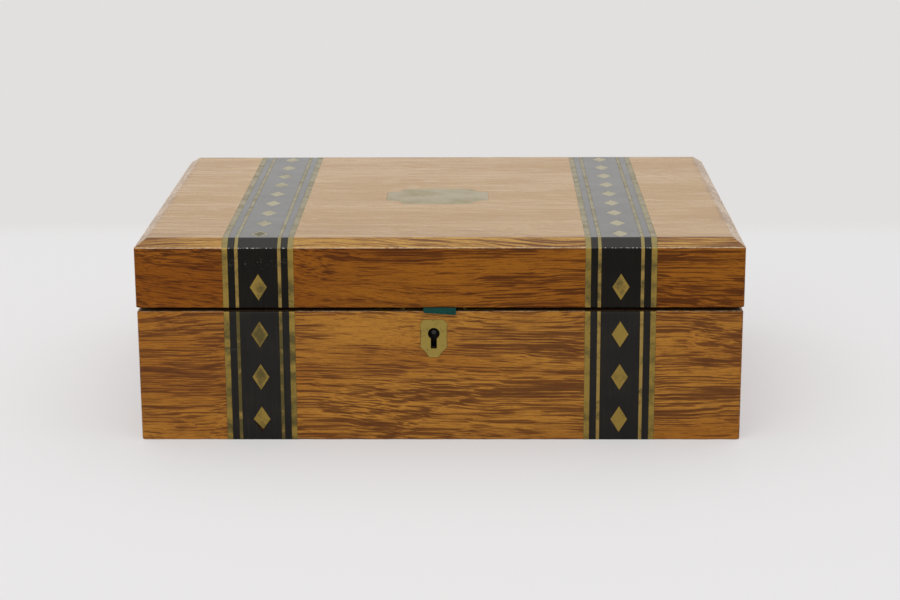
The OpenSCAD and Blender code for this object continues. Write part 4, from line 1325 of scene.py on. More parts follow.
@dataclass
class BaseCarcase:
    """The base: four mitred boards round a bottom board."""

    w: float = high("base_right_board")[0] * 2
    d: float = -low("base_front_board")[1] * 2
    h: float = high("base_front_board")[2]
    wall: float = size("base_front_board")[1]
    lap: float = 6 * MM
    bottom_t: float = high("base_bottom_board")[2]
    back_r: float = 1.25 * MM
    low_r: float = 0.8 * MM
    plate_t: float = 1.5 * MM

    def board(self, name: str, side: Side, pockets: Sequence[Pocket] = (), **more: object) -> Board:
        """One board of the base, stepped inside to take the bottom board."""
        length, half = (self.w, self.d / 2) if side.long else (self.d, self.w / 2)
        step = Pocket(-1, 1, -MM, self.bottom_t, self.wall - self.lap, inner=True)
        # The top edge's wear of 0.85 is partly a painted highlight of the rounded edge.
        return Board(name, side, OAK_LONG if side.long else OAK_SHORT, Body.BASE, length, half, 0,
                     self.h, self.wall, (step, *pockets), low_r=self.low_r, high_wear_and_highlight=0.85, **more)

    def lock_seat(self, x: float, mortise: float) -> tuple[Pocket, ...]:
        """Pockets of the lock's back plate, case and top plate, open at the seam.

        Args:
            x: The keyhole's place, the middle of all three.
            mortise: Depth behind the front where the case's pocket stops.

        Returns:
            The pockets.
        """
        seats = (
            ("lock_plate", low("lock_plate")[2] - PLAY, self.wall - self.plate_t),
            ("lock_case", low("lock_case")[2] - PLAY, mortise),
            ("lock_plate", self.h - self.plate_t, mortise),
        )
        halves = [high(node)[0] - x + PLAY for node, _, _ in seats]
        return tuple(Pocket(x - half, x + half, z0, 1, depth, inner=True)
                     for half, (_, z0, depth) in zip(halves, seats))

    def build(self) -> None:
        """Adds the five boards."""
        keyhole = Escutcheon()
        mortise = low("lock_case")[1] - PLAY + self.d / 2
        pockets = (*strap_pockets(0, self.h), *self.lock_seat(keyhole.x, mortise))
        self.board("base_front_board", Side.FRONT, pockets, window=keyhole.window(),
                   seed=11).build([keyhole.plug(mortise)])
        self.board("base_back_board", Side.BACK, hinge_pockets(self.d / 2, self.h, -1),
                   high_r=self.back_r, seed=23).build()
        for name, side, seed in (("left", Side.LEFT, 31), ("right", Side.RIGHT, 43)):
            self.board(f"base_{name}_board", side, back_high_r=self.back_r, seed=seed).build()
        self.build_bottom()

    def build_bottom(self) -> None:
        """Adds the bottom board, with eased edges."""
        e, pitch = 0.5 * MM, 8 * MM
        lo, hi = low("base_bottom_board"), high("base_bottom_board")
        x, y = (lines(a, b, pitch, marks=[a + e, b - e]) for a, b in zip(lo[:2], hi[:2]))
        gx, gy = np.meshgrid(x, y, indexing="ij")
        rim = np.minimum(np.minimum(gx - lo[0], hi[0] - gx), np.minimum(gy - lo[1], hi[1] - gy))
        off = e * np.clip(1 - rim / e, 0, 1)
        shape = plate(np.stack([gx, gy, hi[2] - off], -1), np.stack([gx, gy, lo[2] + off], -1))
        add_piece("base_bottom_board", [shape], BOTTOM_WOOD, Body.BASE)


@dataclass
class Cartouche:
    """The blank brass name plate with hollow corners, and the part of the panel round it."""

    x: float = middle("cartouche")[0]
    y: float = middle("cartouche")[1]
    half_w: float = size("cartouche")[0] / 2
    half_d: float = size("cartouche")[1] / 2
    thick: float = size("cartouche")[2]
    corner: float = 10.5 * MM
    slack: float = 0.05 * MM

    def outline(self, grow: float) -> Array:
        """A rectangle less a quarter round at each corner, grown by some."""
        f, r = np.radians(np.linspace(0, 90, 13)), self.corner - grow
        arc = np.stack([self.half_w - r * np.cos(f), self.half_d - r * np.sin(f)], 1)
        most = [self.half_w + grow, self.half_d + grow]
        ends = [[self.half_w - r, most[1]]], [[most[0], self.half_d - r]]
        q = np.minimum(np.concatenate([ends[0], arc, ends[1]]), most)
        return np.concatenate([q, q[::-1] * [1, -1], -q, q[::-1] * [-1, 1]])

    def window(self) -> Window:
        """The part of the top that is made round the plate."""
        dx, dy = self.half_w + 1.5 * MM, self.half_d + 1.5 * MM
        return (self.x - dx, self.x + dx, self.y - dy, self.y + dy)

    def rings(self, steps: Sequence[tuple[Array, float]]) -> Array:
        """Outlines at given heights, in place."""
        return nested(steps, (0, 0)) + [self.x, self.y, 0]

    def plug(self, top: float, ceiling: float) -> Shape:
        """The panel round the plate, with the plate's seat."""
        x0, x1, y0, y1 = self.window()
        edge = rectangle(x0 - self.x, x1 - self.x, y0 - self.y, y1 - self.y)
        seat = self.outline(self.slack)
        rings = self.rings([(edge, ceiling), (edge, top), (seat, top),
                            (seat, top - self.thick - self.slack)])
        # Painted glare: round the plate the figure is washed out as on the flat top.
        return loft(rings, {"fade": [0.86] * 4})

    def build(self, top: float) -> None:
        """Adds the plate, flush with the top, with softened edges."""
        e = 0.1 * MM
        rings = self.rings([(self.outline(0), top - self.thick), (self.outline(0), top - e),
                            (self.outline(-e), top)])
        add_piece("cartouche", [loft(rings, {"wear": [0, 0.5, 0.2]})], NAME_BRASS, Body.LID)


@dataclass
class LidCarcase:
    """The lid: four mitred boards under a bevelled top panel."""

    w: float = high("lid_right_board")[0] * 2
    d: float = -low("lid_front_board")[1] * 2
    wall: float = size("lid_front_board")[1]
    ceiling: float = low("lid_top_panel")[2]
    tongue_in: float = 12.1 * MM
    corner_r: float = 1.6 * MM
    back_r: float = 1.9 * MM
    link_play: float = 0.1 * MM
    seeds: tuple[int, int, int, int] = (51, 67, 71, 83)

    def board(self, name: str, side: Side, **more: object) -> Board:
        """One board of the lid."""
        length, half = (self.w, self.d / 2) if side.long else (self.d, self.w / 2)
        # The arris' wear of 1.0 is partly a painted highlight of the rounded arris.
        return Board(name, side, OAK_LID if side.long else OAK_LID_SHORT, Body.LID, length, half,
                     PROFILE.face_z, PROFILE.arris, self.wall, at_arris=True,
                     high_r=PROFILE.arris_r, high_wear_and_highlight=1.0, seed=self.seeds[side.value], **more)

    def build(self) -> None:
        """Adds the four boards and the panel."""
        z0, lo, hi, play = PROFILE.face_z, low("link_plate"), high("link_plate"), self.link_play
        link_seat = Pocket(lo[0] - play, hi[0] + play, z0 - MM, hi[2], lo[1] - play + self.d / 2,
                           inner=True)
        self.board("lid_front_board", Side.FRONT,
                   pockets=(*strap_pockets(z0, PROFILE.arris), link_seat)).build()
        self.board("lid_back_board", Side.BACK, pockets=hinge_pockets(self.d / 2, z0, 1),
                   low_r=self.back_r).build()
        for name, side in (("left", Side.LEFT), ("right", Side.RIGHT)):
            self.board(f"lid_{name}_board", side, back_low_r=self.back_r).build()
        self.build_panel()

    def radii(self, side: Side, u: Array) -> tuple[Array, Array]:
        """Worn radii of arris and brow along a side, the arris' as its board has it."""
        half, seed = (self.w if side.long else self.d) / 2, self.seeds[side.value]
        return (worn_radius(PROFILE.arris_r, u, half, seed + 2),
                worn_radius(PROFILE.brow_r, u, half, seed + 5, 0.15))

    def stations(self, half: float, edge: Array, steps: Sequence[float],
                 marks: Sequence[float]) -> Array:
        """Grid lines of the panel: the bevel's own at both ends, and even ones between."""
        start = -half + edge[-1]
        steps = [*steps, self.tongue_in - half, half - self.tongue_in]
        between = lines(start, -start, 2.5 * MM, steps, marks)
        return np.concatenate([-half + edge[:-1], between, half - edge[:-1][::-1]])

    def upper(self, xs: Array, ys: Array, n: int) -> tuple[Array, Array, Array]:
        """The panel's outer surface: bevels, rounded corners and the straps' pockets.

        Each point has its inset and height from the bevel's line on its nearest side in x and in y,
        and takes the lower height, which mitres the bevel at the corners. Within the corner's
        radius the square of insets (a, b) is drawn to a disc: both times max(a, b) / hypot(a, b).

        Args:
            xs: Grid lines across the box.
            ys: Grid lines from front to back.
            n: Number of them on each bevel.

        Returns:
            The points' x, y and z.
        """
        x, y = np.meshgrid(xs, ys, indexing="ij")
        z = np.full(x.shape, PROFILE.top)
        for side, along in ((Side.FRONT, xs), (Side.BACK, -xs), (Side.LEFT, -ys), (Side.RIGHT, ys)):
            depth, height = PROFILE.bevel(*self.radii(side, along))
            place, level, half = (y.T, z.T, self.d / 2) if side.long else (x, z, self.w / 2)
            if side in (Side.FRONT, Side.LEFT):
                place[:n], level[:n] = depth - half, np.minimum(level[:n], height)
            else:
                place[-n:] = half - depth[::-1]
                level[-n:] = np.minimum(level[-n:], height[::-1])
        rim = PROFILE.arris_r * (1 - math.cos(PROFILE.seam))
        a = np.abs(x) - (self.w / 2 - rim - self.corner_r)
        b = np.abs(y) - (self.d / 2 - rim - self.corner_r)
        longest = np.maximum(np.hypot(a, b), 1e-9)
        shrink = np.where((a > 0) & (b > 0), 1 - np.maximum(a, b) / longest, 0)
        x, y = x - np.sign(x) * a * shrink, y - np.sign(y) * b * shrink
        _, run, brow = PROFILE.pocket_foot(INLAY.thick)
        foot = INLAY.thick + run + INLAY.slack
        floor = PROFILE.top - INLAY.thick - INLAY.slack
        pocket_y = np.linspace(foot, PROFILE.bevel_in + brow + 0.03 * MM, n)
        pocket_z = np.linspace(PROFILE.arris, floor, n)
        strap = INLAY.in_strap(xs)
        y[strap, :n], y[strap, -n:] = -self.d / 2 + pocket_y, self.d / 2 - pocket_y[::-1]
        z[strap] = floor
        z[strap, :n], z[strap, -n:] = pocket_z, pocket_z[::-1]
        return x, y, z

    def under(self, xs: Array, ys: Array, n: int) -> tuple[Array, Array, Array]:
        """The panel's underside on the same grid: flat on the boards, with a tongue inside them."""
        inset = np.linspace(2.5 * MM, 8 * MM, n)
        flat = []
        for grid, half in ((xs, self.w / 2), (ys, self.d / 2)):
            grid = grid.copy()
            grid[:n], grid[-n:] = -half + inset, half - inset[::-1]
            flat.append(grid)
        x, y = np.meshgrid(*flat, indexing="ij")
        tongue = ((np.abs(x) < self.w / 2 - self.tongue_in)
                  & (np.abs(y) < self.d / 2 - self.tongue_in))
        return x, y, np.where(tongue, self.ceiling, PROFILE.arris)

    def aged(self, x: Array, y: Array) -> tuple[Array, Array]:
        """Wear at arris and brow, at the arris partly a painted highlight, and fade, painted glare
        that washes out the figure, strongest on the flat top.
        """
        arris_rim, brow_rim = 0.9 * MM, 0.8 * MM
        from_side, from_front = self.w / 2 - np.abs(x), self.d / 2 - np.abs(y)
        inset = np.minimum(from_side, from_front)
        wear = np.maximum(np.exp(-np.clip(inset - 0.2 * MM, 0, 1) / arris_rim),
                          0.55 * np.exp(-np.abs(inset - PROFILE.bevel_in) / brow_rim))
        flat = ease((inset - PROFILE.bevel_in) / (2 * MM))
        fade = flat * (0.70 + 0.16 * ease((y + self.d / 2) / (70 * MM)))
        end_grain = from_side < from_front
        wear = np.where(end_grain, 0.6 * wear, wear)
        return wear, np.where(end_grain, np.maximum(fade, 0.5), fade)

    def build_panel(self) -> None:
        """Adds the top panel and the part of it round the name plate."""
        edge, _ = PROFILE.bevel(np.array(PROFILE.arris_r), np.array(PROFILE.brow_r))
        n = len(edge)
        name_plate = Cartouche()
        window = name_plate.window()
        sides = [s * INLAY.middle + t * INLAY.strap_half for s in (-1, 1) for t in (-1, 1)]
        xs = self.stations(self.w / 2, edge, sides, window[:2])
        ys = self.stations(self.d / 2, edge, (), window[2:])
        outer = self.upper(xs, ys, n)
        wear, fade = self.aged(*outer[:2])
        split = np.where(np.multiply.outer(middles(xs), middles(ys)) > 0, 1, 2)
        shape = plate(np.stack(outer, -1), np.stack(self.under(xs, ys, n), -1),
                      outside(xs, ys, window), {"wear": (wear, wear * 0), "fade": (fade, fade)},
                      split)
        plug = name_plate.plug(PROFILE.top, self.ceiling)
        add_piece("lid_top_panel", [shape, plug], OAK_TOP, Body.LID, sharp=28)
        name_plate.build(PROFILE.top)


@dataclass
class Route:
    """The way an inlay follows: outer and inner line, as depths behind the front and heights."""

    outer: Array
    inner: Array
    half: float

    @staticmethod
    def between(parts: Sequence[Array], feet: tuple[Sequence[float], Sequence[float]],
                half: float) -> "Route":
        """A route whose outer line is made of parts and whose inner line joins two feet."""
        same = 1e-7
        outer = np.concatenate(parts)
        outer = outer[np.r_[True, np.linalg.norm(np.diff(outer, axis=0), axis=1) > same]]
        run = lengths(outer)
        start, end = (np.asarray(foot) for foot in feet)
        return Route(outer, start + (run / run[-1])[:, None] * (end - start), half)

    def mirrored(self) -> "Route":
        """The same route from the back."""
        flip, shift = np.array([-1, 1]), np.array([2 * self.half, 0])
        return Route(self.outer * flip + shift, self.inner * flip + shift, self.half)

    def strip(self, u0: Array | float, u1: Array | float, seed: int, wear: Array, across: int = 2,
              soft: tuple[float, float] = (0.08 * MM, 0.08 * MM), crack: float | None = None,
              dull: float = 0.0) -> Shape:
        """A strip of inlay along the route, with softened edges and a slightly uneven face.

        A ring has the near inner edge, the softened outer edge, the face, and the same on the far
        side; the face's points lie on the outer line, less an unevenness of some hundredths of a
        millimetre.

        Args:
            u0: Where the strip starts across the box, one place or one for each station.
            u1: Where it ends.
            seed: Picks the unevenness.
            wear: Wear at each station.
            across: Number of points across the face.
            soft: Width of the softened edge at its start and end.
            crack: Height of a fine dark crack across the strip, if it has one.
            dull: How much more tarnished it is than others.

        Returns:
            The closed strip.
        """
        uneven_h, crack_h, crack_w = 0.012 * MM, 0.2 * MM, 0.2 * MM
        n = len(self.outer)
        into = self.inner - self.outer
        thick = np.linalg.norm(into, axis=1)
        into = into / thick[:, None]
        u0, u1 = np.broadcast_to(u0, n), np.broadcast_to(u1, n)
        run = lengths(self.outer)
        torn = np.zeros(n)
        if crack is not None:
            torn = np.exp(-((self.outer[:, 1] - crack) / crack_w) ** 2)
        uneven = uneven_h * (1.2 + np.clip(ripple(run, seed, 30 * MM), -1.2, 2)) + crack_h * torn
        face = [u0 + soft[0] + (u1 - u0 - sum(soft)) * k / (across - 1) for k in range(across)]
        spans = [u0, u0, *face, u1, u1]
        sunk = [thick, soft[0] + uneven, *([uneven] * across), soft[1] + uneven, thick]
        rings = [on_side(Side.FRONT, self.half, u, *(self.outer + into * q[:, None]).T)
                 for u, q in zip(spans, sunk)]
        blotch = dull + 0.25 * ripple(run, seed + 1, 50 * MM) + 3 * torn
        grime = np.array([0.9, 0.5, *([0.0] * across), 0.5, 0.9])
        values = {"wear": np.repeat(wear[:, None], len(spans), 1),
                  "tarnish": blotch[:, None] + grime}
        return loft(np.stack(rings, 1), values)


def eased_end(r: float, *degrees: float) -> Array:
    """A softened end of a strip, at some angles of its round: depths, and heights above the end."""
    f = np.radians(degrees)
    return np.stack([r * (1 - np.cos(f)), r * (1 - np.sin(f))], 1)


ZONES = ("base", "lid_front", "lid_bevel", "lid_top")


@dataclass
class Strapwork:
    """Both inlaid straps: brass lines, ebony lines, ebony panels and brass lozenges.

    The dulled lines and the aged lozenges are those of the photograph. A line goes by its kind,
    zone and strap, a lozenge by its strap and number, with its tarnish and how much darker its
    middle is.
    """

    base_z: tuple[float, ...] = (12.8 * MM, 38.9 * MM, 65 * MM)
    lid_z: float = 93.8 * MM
    top_pitch: float = 28 * MM
    top_count: int = 9
    crack_z: float = 56.5 * MM
    crack_marks: tuple[float, ...] = (-0.5 * MM, -0.15 * MM, 0, 0.15 * MM, 0.5 * MM)
    scuff_z: float = 108 * MM
    scuff_r: float = 8 * MM
    scuff: float = 0.728
    dulled: dict[tuple[str, str, int], float] = field(default_factory=lambda: {
        ("inner_brass_lines", "base", -1): 0.5, ("inner_brass_lines", "base", 1): -0.25,
        ("outer_brass_lines", "base", -1): 0.1,
    })
    aged: dict[tuple[int, int], tuple[float, float]] = field(default_factory=lambda: {
        (-1, 2): (0.45, 0.5), (-1, 1): (0.25, 0.5), (1, 1): (0.1, 0.2),
    })
    lid_aged: tuple[float, float] = (0.15, 0.3)
    hollows: dict[int, float] = field(default_factory=lambda: {0: 1.6, 2: 0.6})
    ebony: tuple[Finish, ...] = (EBONY, EBONY_LID, EBONY_TOP, EBONY_TOP)
    wide_brass: tuple[Finish, ...] = (LINE_BRASS, LINE_BRASS, BEVEL_BRASS, TOP_BRASS)
    thin_brass: tuple[Finish, ...] = (THIN_BRASS, THIN_BRASS, BEVEL_BRASS, TOP_BRASS)
    base_half: float = -low("base_front_board")[1]
    base_h: float = high("base_front_board")[2]
    lid_half: float = -low("lid_front_board")[1]

    @property
    def hole(self) -> tuple[float, float]:
        """Half width and half length of a lozenge's hole: the lozenge's, moved out by the play."""
        a, b = INLAY.lozenge_w / 2, INLAY.lozenge_l / 2
        grown = 1 + INLAY.slack * math.hypot(a, b) / (a * b)
        return a * grown, b * grown

    def top_y(self) -> Array:
        """Places of the top's lozenges from front to back."""
        return (np.arange(self.top_count) - (self.top_count - 1) / 2) * self.top_pitch

    def tips(self, places: Sequence[float]) -> list[float]:
        """Both tips and the middle of each lozenge's hole."""
        return [m + s * self.hole[1] for m in places for s in (-1, 0, 1)]

    def hole_half(self, along: Array, places: Sequence[float]) -> Array:
        """Half the width of the lozenges' holes at places along a strap: a (1 - |t| / b), or 0."""
        a, b = self.hole
        gap = np.abs(np.asarray(along)[:, None] - np.asarray(places)[None]).min(1)
        return np.clip(a * (1 - gap / b), 0, None)

    def base_route(self, marks: Sequence[float] = ()) -> Route:
        """Up the base's front, with a softened end at top and bottom."""
        r = 0.5 * MM
        end = eased_end(r, 80, 50, 25)
        z = lines(r, self.base_h - r, 2.5 * MM, (), marks)
        parts = [end, np.stack([z * 0, z], 1), end[::-1] * [1, -1] + [0, self.base_h]]
        feet = (INLAY.thick, 0), (INLAY.thick, self.base_h)
        return Route.between(parts, feet, self.base_half)

    def lid_routes(self, x: float, marks: Sequence[float] = (),
                   top_marks: Sequence[float] = ()) -> dict[str, list[Route]]:
        """Over the lid: up its front, over the front bevel, across the top and down the back bevel.

        Args:
            x: Where across the box the route runs, which sets how worn its arris is.
            marks: Heights on the front that get exact stations.
            top_marks: Places in y on the top that get exact stations.

        Returns:
            The routes of each zone.
        """
        p, t, half, soft = PROFILE, INLAY.thick, self.lid_half, 0.4 * MM
        depth, k = 2 * half, np.linspace(0, 1, 6)[1:-1, None]
        drop, run, brow = p.pocket_foot(t)
        lid = LidCarcase()
        (ar,), (br,) = lid.radii(Side.FRONT, np.array([x]))
        (back_ar,), (back_br,) = lid.radii(Side.BACK, np.array([-x]))
        mitre, brow_foot = (t, p.arris - drop), (p.bevel_in + brow, p.top - t)

        def line(pair: tuple[Array, Array]) -> Array:
            """Depths and heights side by side."""
            return np.stack(pair, 1)

        z = lines(p.face_z + soft, p.arris - ar * math.tan(p.turn / 2), 2.5 * MM, (), marks)
        front = [eased_end(soft, 75, 45, 20) + [0, p.face_z], np.stack([z * 0, z], 1),
                 line(p.arris_arc(0, p.turn / 2, 4, ar))]
        up = line(p.arris_arc(p.turn / 2, p.turn, 4, ar))
        over = line(p.brow_arc(p.slope, p.slope / 2, 3, br))
        crest = line(p.brow_arc(p.slope / 2, 0, 3, br))
        far = line(p.brow_arc(0, p.slope / 2, 3, back_br)) * [-1, 1] + [depth, 0]
        y = lines(crest[-1, 0], far[0, 0], 5 * MM, (), [m + half for m in top_marks])
        down = line(p.brow_arc(p.slope / 2, p.slope, 3, back_br))
        under = line(p.arris_arc(p.turn, p.seam, 4, back_ar))
        front_bevel = [up, up[-1] + k * (over[0] - up[-1]), over]
        top = [crest, np.stack([y, np.full(len(y), p.top)], 1), far]
        back_bevel = [down, down[-1] + k * (under[0] - down[-1]), under]
        return {
            "lid_front": [Route.between(front, ((t, p.face_z), mitre), half)],
            "lid_bevel": [Route.between(front_bevel, (mitre, brow_foot), half),
                          Route.between(back_bevel, (brow_foot, (t + run, p.arris)),
                                        half).mirrored()],
            "lid_top": [Route.between(top, (brow_foot, (depth - brow_foot[0], p.top - t)), half)],
        }

    def edge_wear(self, route: Route, zone: str, strap: float) -> Array:
        """Wear near the lid's arris, there partly a painted highlight, and, less, near its brow,
        and the scuff on the left strap.

        Args:
            route: The route that the strip follows.
            zone: Its zone.
            strap: -1 on the left strap, 1 on the right.

        Returns:
            The wear at each station.
        """
        depth, z = route.outer.T
        if zone == "base":
            return np.zeros(len(z))
        depth = np.minimum(depth, 2 * self.lid_half - depth)
        arris = np.exp(-np.hypot(depth - 0.3 * MM, z - PROFILE.arris) / MM)
        brow = np.exp(-np.hypot(depth - PROFILE.bevel_in, z - PROFILE.top) / MM)
        wear = np.maximum(arris, 0.5 * brow)
        if zone == "lid_front" and strap < 0:
            patch = np.exp(-((z - self.scuff_z) / self.scuff_r) ** 4)
            wear = np.maximum(wear, self.scuff * patch)
        return wear

    def add(self, name: str, shapes: Sequence[Shape], finish: Finish) -> None:
        """Adds shapes as one piece in place of the CAD node of that name."""
        add_piece(name, shapes, finish, Body.BASE if name.startswith("base") else Body.LID)

    def build(self) -> None:
        """Adds every line, panel and lozenge, one piece for each CAD node."""
        gap, i = INLAY.slack / 2, INLAY
        for kind, near, far, finishes in (
            ("outer_brass_lines", i.ebony_half, i.strap_half, self.wide_brass),
            ("ebony_lines", i.inner_half, i.ebony_half, self.ebony),
            ("inner_brass_lines", i.panel_half, i.inner_half, self.thin_brass),
        ):
            made: dict[str, list[Shape]] = {zone: [] for zone in ZONES}
            for n, (strap, way) in enumerate((s, w) for s in (-1, 1) for w in (-1, 1)):
                u0, u1 = sorted(strap * i.middle + way * w for w in (near, far))
                cracked = n == 0 or (n == 1 and kind == "inner_brass_lines")
                marks = [self.crack_z + d for d in self.crack_marks] if cracked else ()
                routes = {"base": [self.base_route(marks)], **self.lid_routes((u0 + u1) / 2)}
                for zone in ZONES:
                    seed, dull = 100 + 10 * n + len(zone), self.dulled.get((kind, zone, strap), 0)
                    crack = self.crack_z if cracked and zone == "base" else None
                    for route in routes[zone]:
                        wear = self.edge_wear(route, zone, strap)
                        made[zone].append(route.strip(u0 + gap, u1 - gap, seed, wear, crack=crack,
                                                      dull=dull))
            for zone, finish in zip(ZONES, finishes):
                self.add(f"{zone}_{kind}", made[zone], finish)
        self.build_panels(gap)
        self.build_lozenges()

    def build_panels(self, gap: float) -> None:
        """Adds the middle panels: a left and a right half that part round each lozenge's hole."""
        tight, soft, nowhere, seed, across = 0.004 * MM, 0.08 * MM, 9.0, 301, 4
        holes = dict(zip(ZONES, (self.base_z, [self.lid_z], [nowhere], self.top_y())))
        made: dict[str, list[Shape]] = {zone: [] for zone in ZONES}
        for axis in (-INLAY.middle, INLAY.middle):
            routes = {"base": [self.base_route(self.tips(self.base_z))],
                      **self.lid_routes(axis, self.tips([self.lid_z]), self.tips(self.top_y()))}
            for zone, route in ((zone, route) for zone in ZONES for route in routes[zone]):
                depth, height = route.outer.T
                along = height if zone in ("base", "lid_front") else depth - self.lid_half
                near = self.hole_half(along, holes[zone])
                far = np.full(len(near), INLAY.panel_half - gap)
                wear = self.edge_wear(route, zone, axis)
                made[zone] += [
                    route.strip(axis + near, axis + far, seed, wear, across, (tight, soft)),
                    route.strip(axis - far, axis - near, seed, wear, across, (soft, tight)),
                ]
        for zone, finish in zip(ZONES, self.ebony):
            self.add(f"{zone}_ebony_panels", made[zone], finish)

    def lozenge(self, rng: np.random.Generator, tarnish: float, hollow: float = 0.0,
                broken: bool = False) -> Shape:
        """One hand-cut lozenge, face up at the origin with its length along y.

        Args:
            rng: Source of the small differences between lozenges.
            tarnish: How tarnished its face is.
            hollow: How much darker its middle is than its rim.
            broken: Whether its lower tip has broken off.

        Returns:
            The lozenge.
        """
        soft = 0.1 * MM
        a, b = INLAY.lozenge_w / 2, INLAY.lozenge_l / 2
        corners = np.array([[0, b], [a, 0], [0, -b], [-a, 0]]) * (1 - rng.uniform(0, 0.012, (4, 1)))
        if broken:
            corners[2] = [0.16 * a, -0.74 * b]
        t = np.linspace(0, 1, 7)[:-1, None]
        ring = np.concatenate([p + t * (q - p) for p, q in zip(corners, np.roll(corners, -1, 0))])
        inset = 1 - soft * math.hypot(a, b) / (a * b)
        steps = [(1, INLAY.thick), (1, soft), (inset, 0), (0.5, 0.01 * MM)]
        rings = np.stack([np.column_stack([ring * s, np.full(len(ring), -q)]) for s, q in steps])
        return loft(rings, {"tarnish": [1, tarnish, tarnish, tarnish + hollow],
                            "wear": [0, 0.5, 0, 0]})

    def build_lozenges(self) -> None:
        """Adds the lozenges of base, lid front and top, each a little different."""
        rng = np.random.default_rng(5)
        made: dict[str, list[Shape]] = {"base": [], "lid_front": [], "lid_top": []}
        for strap in (-1, 1):
            axis = strap * INLAY.middle
            stood = [("base", self.base_half, z, self.aged.get((strap, n), (plain, 0.0)))
                     for n, z in enumerate(self.base_z) for plain in [rng.uniform(-0.1, 0.2)]]
            stood.append(("lid_front", self.lid_half, self.lid_z, self.lid_aged))
            for zone, half, z, marks in stood:
                one = self.lozenge(rng, *marks, broken=(strap, z) == (-1, self.base_z[0]))
                x, y, q = one.points.T
                one.points = np.stack([axis + x, -half - q, z + y], 1)
                made[zone].append(one)
            for n, place in enumerate(self.top_y()):
                hollow = self.hollows.get(n, 0.0) if strap < 0 else 0.0
                one = self.lozenge(rng, rng.uniform(-0.1, 0.3), hollow)
                one.points = one.points + [axis, place, PROFILE.top]
                made["lid_top"].append(one)
        for zone, shapes in made.items():
            finish = TOP_LOZENGE_BRASS if zone == "lid_top" else LOZENGE_BRASS
            self.add(f"{zone}_brass_lozenges", shapes, finish)


@dataclass
class Hardware:
    """Lock, link plate and hinges: CAD nodes with their own metal finishes."""

    brass: tuple[str, ...] = (
        "lock_plate", "lock_case", "lock_screws", "link_plate", "link_screws",
        "hinge_base_screws", "hinge_lid_screws", "hinge_left_base_leaf", "hinge_right_base_leaf",
        "hinge_left_lid_leaf", "hinge_right_lid_leaf",
    )
    iron: tuple[str, ...] = (
        "lock_drill_pin", "lock_guide_posts", "lock_spring", "lock_bolt", "hinge_left_pin",
        "hinge_right_pin",
    )
    # The lock plate's inside, the lock case, the link plate and the drill pin get painted shade.
    own: dict[str, Finish] = field(default_factory=lambda: {
        "lock_plate": LOCK_PLATE_BRASS, "lock_case": DARK_BRASS, "link_plate": LINK_BRASS,
        "lock_drill_pin": DARK_IRON,
    })
    iron_edge: float = 0.08 * MM

    def build(self) -> None:
        """Dresses the nodes."""
        for node in self.brass:
            dress_node(node, self.own.get(node, LOCK_BRASS))
        for node in self.iron:
            dress_node(node, self.own.get(node, IRON), self.iron_edge)


@dataclass
class Linings:
    """Baize glued to the inside of base and lid."""

    ripple_h: float = 0.12 * MM
    soft: float = 0.9 * MM
    rows: tuple[float, ...] = (0.25, 0.6, 1.2, 2.4)

    def add(self, node: str, normal: int, towards: int, seed: int,
            window: Window | None = None) -> None:
        """Adds one sheet in place of its CAD node.

        The hidden face is flat. The other lies a thickness off it, less a small ripple, and falls
        to half the thickness at the edges, as 1 - exp(-distance / (0.35 soft)) / 2.

        Args:
            node: The CAD node that holds the sheet.
            normal: The axis across the sheet.
            towards: 1 if the visible face is on the high side of that axis, -1 if on the low side.
            seed: Picks the ripple.
            window: A hole, as two spans on the other two axes.
        """
        lo, hi = low(node), high(node)
        ua, va = (i for i in range(3) if i != normal)
        rows = np.array(self.rows) * self.soft
        marks = [[*(lo[a] + rows), *(hi[a] - rows)] for a in (ua, va)]
        if window:
            marks[0] += [w + s * g for w, s in zip(window[:2], (-1, 1)) for g in (0, *rows)]
            marks[1] += [window[2] - g for g in (0, *rows)]
        us, vs = (lines(lo[a], hi[a], 5 * MM, (), m) for a, m in zip((ua, va), marks))
        u, v = np.meshgrid(us, vs, indexing="ij")
        rim = np.minimum(np.minimum(u - lo[ua], hi[ua] - u), np.minimum(v - lo[va], hi[va] - v))
        flat = (float(hi[ua] - lo[ua]), float(hi[va] - lo[va]))
        keep, area = None, None
        if window:
            rim = np.minimum(rim, np.clip(off_window(u, v, window), 0, None))
            keep = outside(us, vs, window)
            area = flat[0] * flat[1] - (window[1] - window[0]) * (window[3] - window[2])
        thick = hi[normal] - lo[normal]
        wave = 0.5 + 0.5 * ripple(u, seed, 70 * MM) * ripple(v, seed + 1, 50 * MM)
        height = (thick * (1 - 0.5 * np.exp(-rim / (0.35 * self.soft)))
                  - np.clip(self.ripple_h * wave, 0, 0.3 * MM))
        back = lo[normal] if towards > 0 else hi[normal]
        faces = []
        for level in (back + towards * height, np.full(u.shape, back)):
            face = np.zeros((*u.shape, 3))
            face[..., ua], face[..., va], face[..., normal] = u, v, level
            faces.append(face)
        body = Body.BASE if node.startswith("base") else Body.LID
        piece = add_piece(node, [plate(*faces, keep)], BAIZE, body, sharp=70)
        normal == 2
        held = "laid" if towards > 0 and normal == 2 else "stretched"

    def build(self) -> None:
        """Adds the five sheets of the base and the five of the lid."""
        lock_lo, lock_hi = low("lock_plate"), high("lock_plate")
        window = (float(lock_lo[0]) - MM, float(lock_hi[0]) + MM, float(lock_lo[2]) - MM,
                  float(high("base_front_lining")[2]))
        self.add("base_floor_lining", 2, 1, 201)
        self.add("base_front_lining", 1, 1, 205, window)
        self.add("lid_ceiling_lining", 2, -1, 203)
        self.add("lid_front_lining", 1, 1, 211)
        for n, part in enumerate(("base", "lid")):
            self.add(f"{part}_back_lining", 1, -1, 221 + n)
            self.add(f"{part}_left_lining", 0, 1, 231 + n)
            self.add(f"{part}_right_lining", 0, -1, 241 + n)


